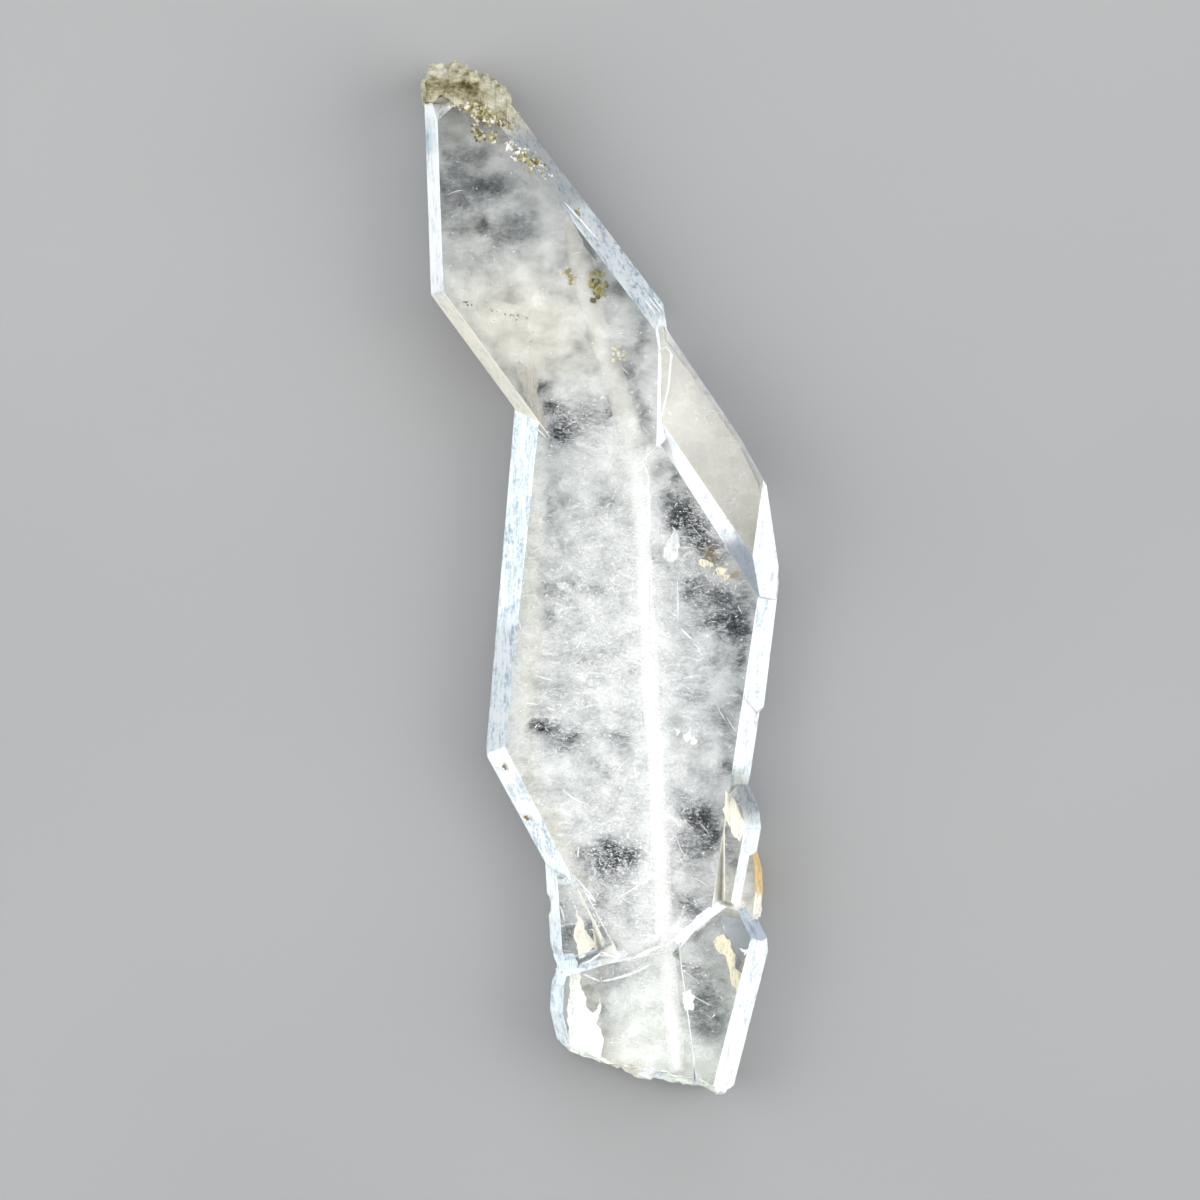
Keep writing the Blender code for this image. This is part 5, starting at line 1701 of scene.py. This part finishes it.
def thread_tube():
    points = smooth_route(THREAD_ROUTE, THREAD_STEPS)
    curve = bpy.data.curves.new("thread", "CURVE")
    curve.dimensions = "3D"
    curve.bevel_depth = MM
    curve.bevel_resolution = THREAD_CURVE_STEPS
    curve.use_fill_caps = True
    spline = curve.splines.new("POLY")
    spline.points.add(len(points) - 1)
    for place, (x, y, z, radius) in zip(spline.points, points):
        place.co = (x * MM, y * MM, z * MM, 1.0)
        place.radius = radius
    guide = bpy.data.objects.new("thread_guide", curve)
    scene.collection.objects.link(guide)
    bm = applied(guide, [])
    bmesh.ops.remove_doubles(bm, verts=bm.verts[:], dist=DOUBLES)
    bmesh.ops.recalc_face_normals(bm, faces=bm.faces[:])
    bm.normal_update()
    for vert in bm.verts:
        place = vert.co / MM
        rough = waves(place, THREAD_SEAMS) + THREAD_GRAIN_SHARE * waves(place, THREAD_GRAINS)
        vert.co += vert.normal * (THREAD_ROUGH * rough) * MM
    return bm


def add_fringe(bm):
    draw = random.Random(FRINGE_SEED)
    top = THREAD_ROUTE[0][1]
    foot = THREAD_ROUTE[-1][1]
    copies = []
    for _ in range(FRINGE):
        y = draw.uniform(foot + FRINGE_FOOT, top)
        x, z, radius = thread_at(y)
        length = radius * draw.uniform(*FRINGE_LENGTHS)
        x += radius * draw.gauss(0.0, FRINGE_SPREAD)
        place = (x, y, z + draw.uniform(-FRINGE_DEPTH, FRINGE_DEPTH))
        turn = math.radians(draw.gauss(*FRINGE_TURNS))
        copies.append(sliver(place, length, draw.uniform(*FRINGE_WIDTHS), turn))
    for x, y, z, first, last, count, longest in THREAD_FANS:
        for _ in range(count):
            turn = math.radians(draw.uniform(first, last))
            length = longest * draw.uniform(*FAN_LENGTHS)
            place = (x + math.cos(turn) * length / 2, y + math.sin(turn) * length / 2, z)
            copies.append(sliver(place, length, draw.uniform(*FAN_WIDTHS), turn))
    gather(bm, copies)


def thread_material():
    """White below the notch. Above it, where it lies deep in the top crystal, it is painted darker: painted
    shade for the quartz and veils over it.
    """
    material, tree, output = new_material("thread_white")
    dull = spread(tree, place_on(tree, "Y"), THREAD_DULL_FROM * MM, THREAD_DULL_TO * MM)
    seams = pattern(tree, FLECKS, SEAM_GRAIN)
    finish(tree, output, principled(tree, {
        "Base Color": blend(tree, dull, ramp(tree, seams, THREAD_WHITE), ramp(tree, seams, THREAD_SHADED)),
        "Roughness": 0.85, "Specular IOR Level": 0.1,
        "Normal": bump(tree, seams, SEAM_BUMP, SEAM_BUMP_DEPTH),
    }))
    return material


bm = thread_tube()
add_fringe(bm)
print("thread faces:", len(bm.faces))
thread = add_piece("white_thread", bm, thread_material(), smooth=True)
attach(thread, BODY)
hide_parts("faden_thread")

# %% [markdown]
# ## The crust
#
# Fine chlorite and tiny crystals cover the tip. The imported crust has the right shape, so a copy of
# it is welded, divided and roughened in smaller and smaller steps. Its lower end is drawn down over
# the quartz along a ragged line, because the real crust grows on it without a gap.

# %% Crust
CRUST_SEAT = [
    (-12.4, 32.3), (-11.3, 31.9), (-10.7, 32.5), (-9.9, 32.0), (-8.8, 31.6), (-7.4, 30.8), (-5.4, 31.0),
]
SEAT_START, SEAT_END = (-11.95, 32.65), (-6.00, 32.10)
SEAT_BAND = 0.55
SEAT_WANDER = 0.35
SEAT_WAVES = (1.6, 0.5, 2.0)
LUMP_WAVES, LUMP_HEIGHT = 2.6, 0.14
CRUMB_WAVES, CRUMB_HEIGHT = 7.0, 0.05
CRUST_SINK = 0.08
CRUST_GRAIN, CRUST_PATCH_GRAIN = 2.6, 1.0
GRAIN_LIGHTENS = PATCH_LIGHTENS = 0.45
OLIVE_DARKENS, PALE_LIGHTENS = -0.42, 0.16
CRUST_LIFT = 0.10
CRUST_BUMP, CRUST_BUMP_DEPTH = 0.4, 0.1
CRUST_TONES = [
    (0.12, (0.085, 0.070, 0.022)), (0.30, (0.21, 0.185, 0.085)), (0.46, (0.37, 0.34, 0.22)),
    (0.64, (0.50, 0.475, 0.35)), (0.90, (0.72, 0.70, 0.59)),
]
CRUST_COOL = (0.92, 1.0, 1.16, 1.0)
CRUST_OLIVE = [
    (-9.6, 33.0, 1.0, 0.55, -10, 0.8), (-8.4, 32.7, 1.0, 0.7, -30, 0.9), (-11.4, 32.7, 0.4, 0.6, 0, 0.9),
    (-7.6, 31.9, 0.6, 0.5, 0, 0.8), (-10.6, 33.4, 0.6, 0.3, 20, 0.5), (-6.9, 31.4, 0.5, 0.4, 0, 0.7),
]
CRUST_PALE = [
    (-10.6, 34.2, 1.6, 0.5, 10, 0.6), (-7.2, 33.0, 1.1, 0.6, -38, 0.8), (-5.9, 31.7, 0.8, 0.9, -38, 0.9),
    (-10.3, 32.2, 0.6, 0.4, 0, 0.7), (-12.0, 33.4, 0.3, 0.8, 0, 0.6),
]


def crust_mesh():
    bm = bmesh.new()
    bm.from_mesh(bpy.data.objects["chlorite_crust"].data)
    bmesh.ops.remove_doubles(bm, verts=bm.verts[:], dist=DOUBLES)
    bmesh.ops.subdivide_edges(bm, edges=bm.edges[:], cuts=2, use_grid_fill=True)
    bm.normal_update()
    side = outward(SEAT_START, SEAT_END)
    for vert in bm.verts:
        place = vert.co / MM
        lumps = noise.noise(place * LUMP_WAVES) * LUMP_HEIGHT
        crumbs = noise.noise(place * CRUMB_WAVES) * CRUMB_HEIGHT
        above_seat = (place.x - SEAT_START[0]) * side.x + (place.y - SEAT_START[1]) * side.y
        vert.co += vert.normal * (lumps + crumbs - CRUST_SINK) * MM
        if above_seat < SEAT_BAND:
            wander = SEAT_WANDER * waves((place.x, place.z, 1.0), SEAT_WAVES)
            vert.co.y = min(vert.co.y, (level_on(CRUST_SEAT, place.x) + wander) * MM)
    olive, pale = by_cell(CRUST_OLIVE), by_cell(CRUST_PALE)
    layer = bm.verts.layers.float_color.new("crust")
    for vert in bm.verts:
        x, y, _ = vert.co / MM
        vert[layer] = (soft_sum(x, y, olive), soft_sum(x, y, pale), 0.0, 1.0)
    return bm


def crust_material():
    material, tree, output = new_material("chlorite_and_druse")
    olive, pale, _ = channels(tree, painted(tree, "crust")[0])
    grains = pattern(tree, FLECKS, CRUST_GRAIN)
    patches = calc(tree, "MULTIPLY", pattern(tree, CLOUDS, CRUST_PATCH_GRAIN), PATCH_LIGHTENS)
    mixed = calc(tree, "ADD", calc(tree, "MULTIPLY_ADD", grains, GRAIN_LIGHTENS, patches), CRUST_LIFT)
    mixed = calc(tree, "MULTIPLY_ADD", olive, OLIVE_DARKENS, mixed)
    mixed = calc(tree, "MULTIPLY_ADD", pale, PALE_LIGHTENS, mixed)
    cooled = blend(tree, calc(tree, "MULTIPLY", pale, 0.5), PLAIN_TONE, CRUST_COOL)
    finish(tree, output, principled(tree, {
        "Base Color": blend(tree, 1.0, ramp(tree, mixed, CRUST_TONES), cooled, "MULTIPLY"),
        "Roughness": 0.5, "Normal": bump(tree, grains, CRUST_BUMP, CRUST_BUMP_DEPTH),
    }))
    return material


bm = crust_mesh()
print("crust faces:", len(bm.faces))
crust = add_piece("chlorite_druse", bm, crust_material())
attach(crust, BODY)
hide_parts("chlorite_crust")

# %% [markdown]
# Past the crust the same minerals thin out into single grains: olive ones, tan ones and a patch of
# clear white crystals. Each bed is a short line, and its grains are scattered about it. A ray cast
# straight down seats every grain on the quartz. Other grains are sealed in deeper down, where they
# look soft, and two small pits on the lower left edge hold a little rust.

# %% Beds of grains, in millimetres
SURFACE_BEDS = [
    # (one end, other end, spread, grains, smallest, largest, tones)
    ((-11.8, 32.7), (-10.4, 32.6), 0.16, 60, 0.06, 0.16, ("tan", "tan", "pale", "olive")),
    ((-10.2, 32.1), (-8.8, 31.7), 0.16, 80, 0.06, 0.18, ("tan", "pale", "pale", "olive")),
    ((-9.0, 32.2), (-6.6, 31.2), 0.34, 190, 0.07, 0.20, ("tan", "olive", "tan", "olive", "moss")),
    ((-8.4, 31.2), (-5.9, 30.5), 0.20, 130, 0.06, 0.18, ("olive", "pale", "tan", "moss", "olive")),
    ((-8.4, 30.2), (-7.9, 29.6), 0.15, 60, 0.07, 0.18, ("moss", "moss", "olive", "moss", "tan")),
    ((-7.4, 29.9), (-7.1, 29.4), 0.14, 34, 0.07, 0.17, ("moss", "tan", "pale", "olive")),
    ((-8.8, 31.5), (-7.6, 30.7), 0.16, 60, 0.06, 0.16, ("olive", "moss", "tan")),
    ((-7.0, 32.9), (-5.6, 31.0), 0.20, 110, 0.06, 0.17, ("tan", "pale", "tan")),
    ((-6.3, 29.2), (-5.2, 28.4), 0.26, 44, 0.05, 0.19, ("white", "pale", "stone", "cream")),
    ((-4.6, 27.9), (-3.3, 27.1), 0.22, 36, 0.05, 0.17, ("white", "pale", "stone")),
    ((-5.3, 28.4), (-4.1, 27.8), 0.24, 80, 0.06, 0.20, ("olive", "tan", "olive", "moss")),
]
SEALED_BEDS = [
    # (one end, other end, height, spread, grains, smallest, largest, tones)
    ((-2.4, 20.5), (-2.0, 20.4), 4.05, 0.22, 30, 0.12, 0.24, ("olive", "tan")),
    ((-0.3, 20.4), (0.0, 19.3), 4.05, 0.30, 56, 0.12, 0.28, ("olive", "olive", "moss")),
    ((1.0, 15.3), (1.6, 14.6), 4.3, 0.24, 22, 0.08, 0.20, ("pale", "tan", "pale")),
    ((-1.6, 24.9), (-1.5, 24.6), 5.0, 0.08, 6, 0.08, 0.14, ("olive",)),
    ((-9.2, 18.6), (-5.4, 17.4), 5.2, 0.08, 16, 0.04, 0.09, ("moss",)),
    ((-9.9, 25.3), (-9.0, 25.1), 5.2, 0.10, 5, 0.05, 0.10, ("moss",)),
    ((-7.8, 19.6), (-4.4, 15.8), 5.0, 0.40, 7, 0.04, 0.09, ("moss",)),
    ((-6.5, -12.8), (-6.4, -13.0), 4.0, 0.05, 5, 0.10, 0.16, ("rust",)),
    ((-5.0, -16.3), (-4.9, -16.5), 3.9, 0.05, 5, 0.10, 0.16, ("rust",)),
]

# %% Make the grains
GRAIN_SEED = 11
GRAIN_CEILING = 6.60
GRAIN_WIDTHS = (0.6, 1.0)
GRAIN_MOST_TILT = 1.5
SEALED_SCATTER = 0.1
MOTTLE_GRAIN = 4.0
MOTTLE_TONES = [(0.0, (0.70, 0.68, 0.62)), (0.6, (1.0, 1.0, 1.0))]


def surface_height(x, y):
    """The height of the front surface over a place, or nothing where there is none."""
    hit = quartz_tree.ray_cast(Vector((x, y, SKY)) * MM, DOWN)[0]
    return hit.z / MM if hit else None


def grain(place, size, tone, draw):
    """A small angular crystal, turned at random and given a tone."""
    widths = [size * draw.uniform(*GRAIN_WIDTHS) for _ in range(2)]
    spin = Matrix.Rotation(draw.uniform(0.0, math.tau), 4, "Z")
    tilt = Matrix.Rotation(draw.uniform(0.0, GRAIN_MOST_TILT), 4, "X")
    matrix = Matrix.Translation(Vector(place)) @ spin @ tilt @ Matrix.Diagonal((size, *widths, 1.0))
    return BALL, matrix, STRAIGHT, (*GLINT_TONES[tone], 1.0)


def bed_place(draw, start, end, loose):
    share = draw.random()
    x = start[0] + (end[0] - start[0]) * share + draw.gauss(0.0, loose)
    y = start[1] + (end[1] - start[1]) * share + draw.gauss(0.0, loose)
    return x, y


def all_grains():
    draw = random.Random(GRAIN_SEED)
    copies = []
    for start, end, loose, count, least, most, tones in SURFACE_BEDS:
        for _ in range(count):
            x, y = bed_place(draw, start, end, loose)
            size = least + (most - least) * draw.random() ** 2
            tone = draw.choice(tones)
            height = surface_height(x, y)
            if height and height + size < GRAIN_CEILING:
                copies.append(grain((x, y, height), size, tone, draw))
    for start, end, height, loose, count, least, most, tones in SEALED_BEDS:
        for _ in range(count):
            x, y = bed_place(draw, start, end, loose)
            place = (x, y, height + draw.gauss(0.0, SEALED_SCATTER))
            copies.append(grain(place, draw.uniform(least, most), draw.choice(tones), draw))
    return gather(bmesh.new(), copies, "glint")


def grain_material():
    material, tree, output = new_material("mineral_grain")
    mottle = ramp(tree, pattern(tree, FLECKS, MOTTLE_GRAIN), MOTTLE_TONES)
    colour = blend(tree, 1.0, painted(tree, "glint")[0], mottle, "MULTIPLY")
    finish(tree, output, principled(tree, {"Base Color": colour, "Roughness": 0.35}))
    return material


bm = all_grains()
print("grain faces:", len(bm.faces))
grains = add_piece("mineral_grains", bm, grain_material())
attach(grains, BODY)

# %% [markdown]
# ## Measure and finish
#
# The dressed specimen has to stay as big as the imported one, so both boxes are written down.

# %% Write the sizes and finish
inner_body.free()
new_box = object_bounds()
for label, box in (("cad", cad_box), ("visual", new_box)):
    print(label, [round((high - low) / MM, 2) for low, high in zip(*box)], "mm")
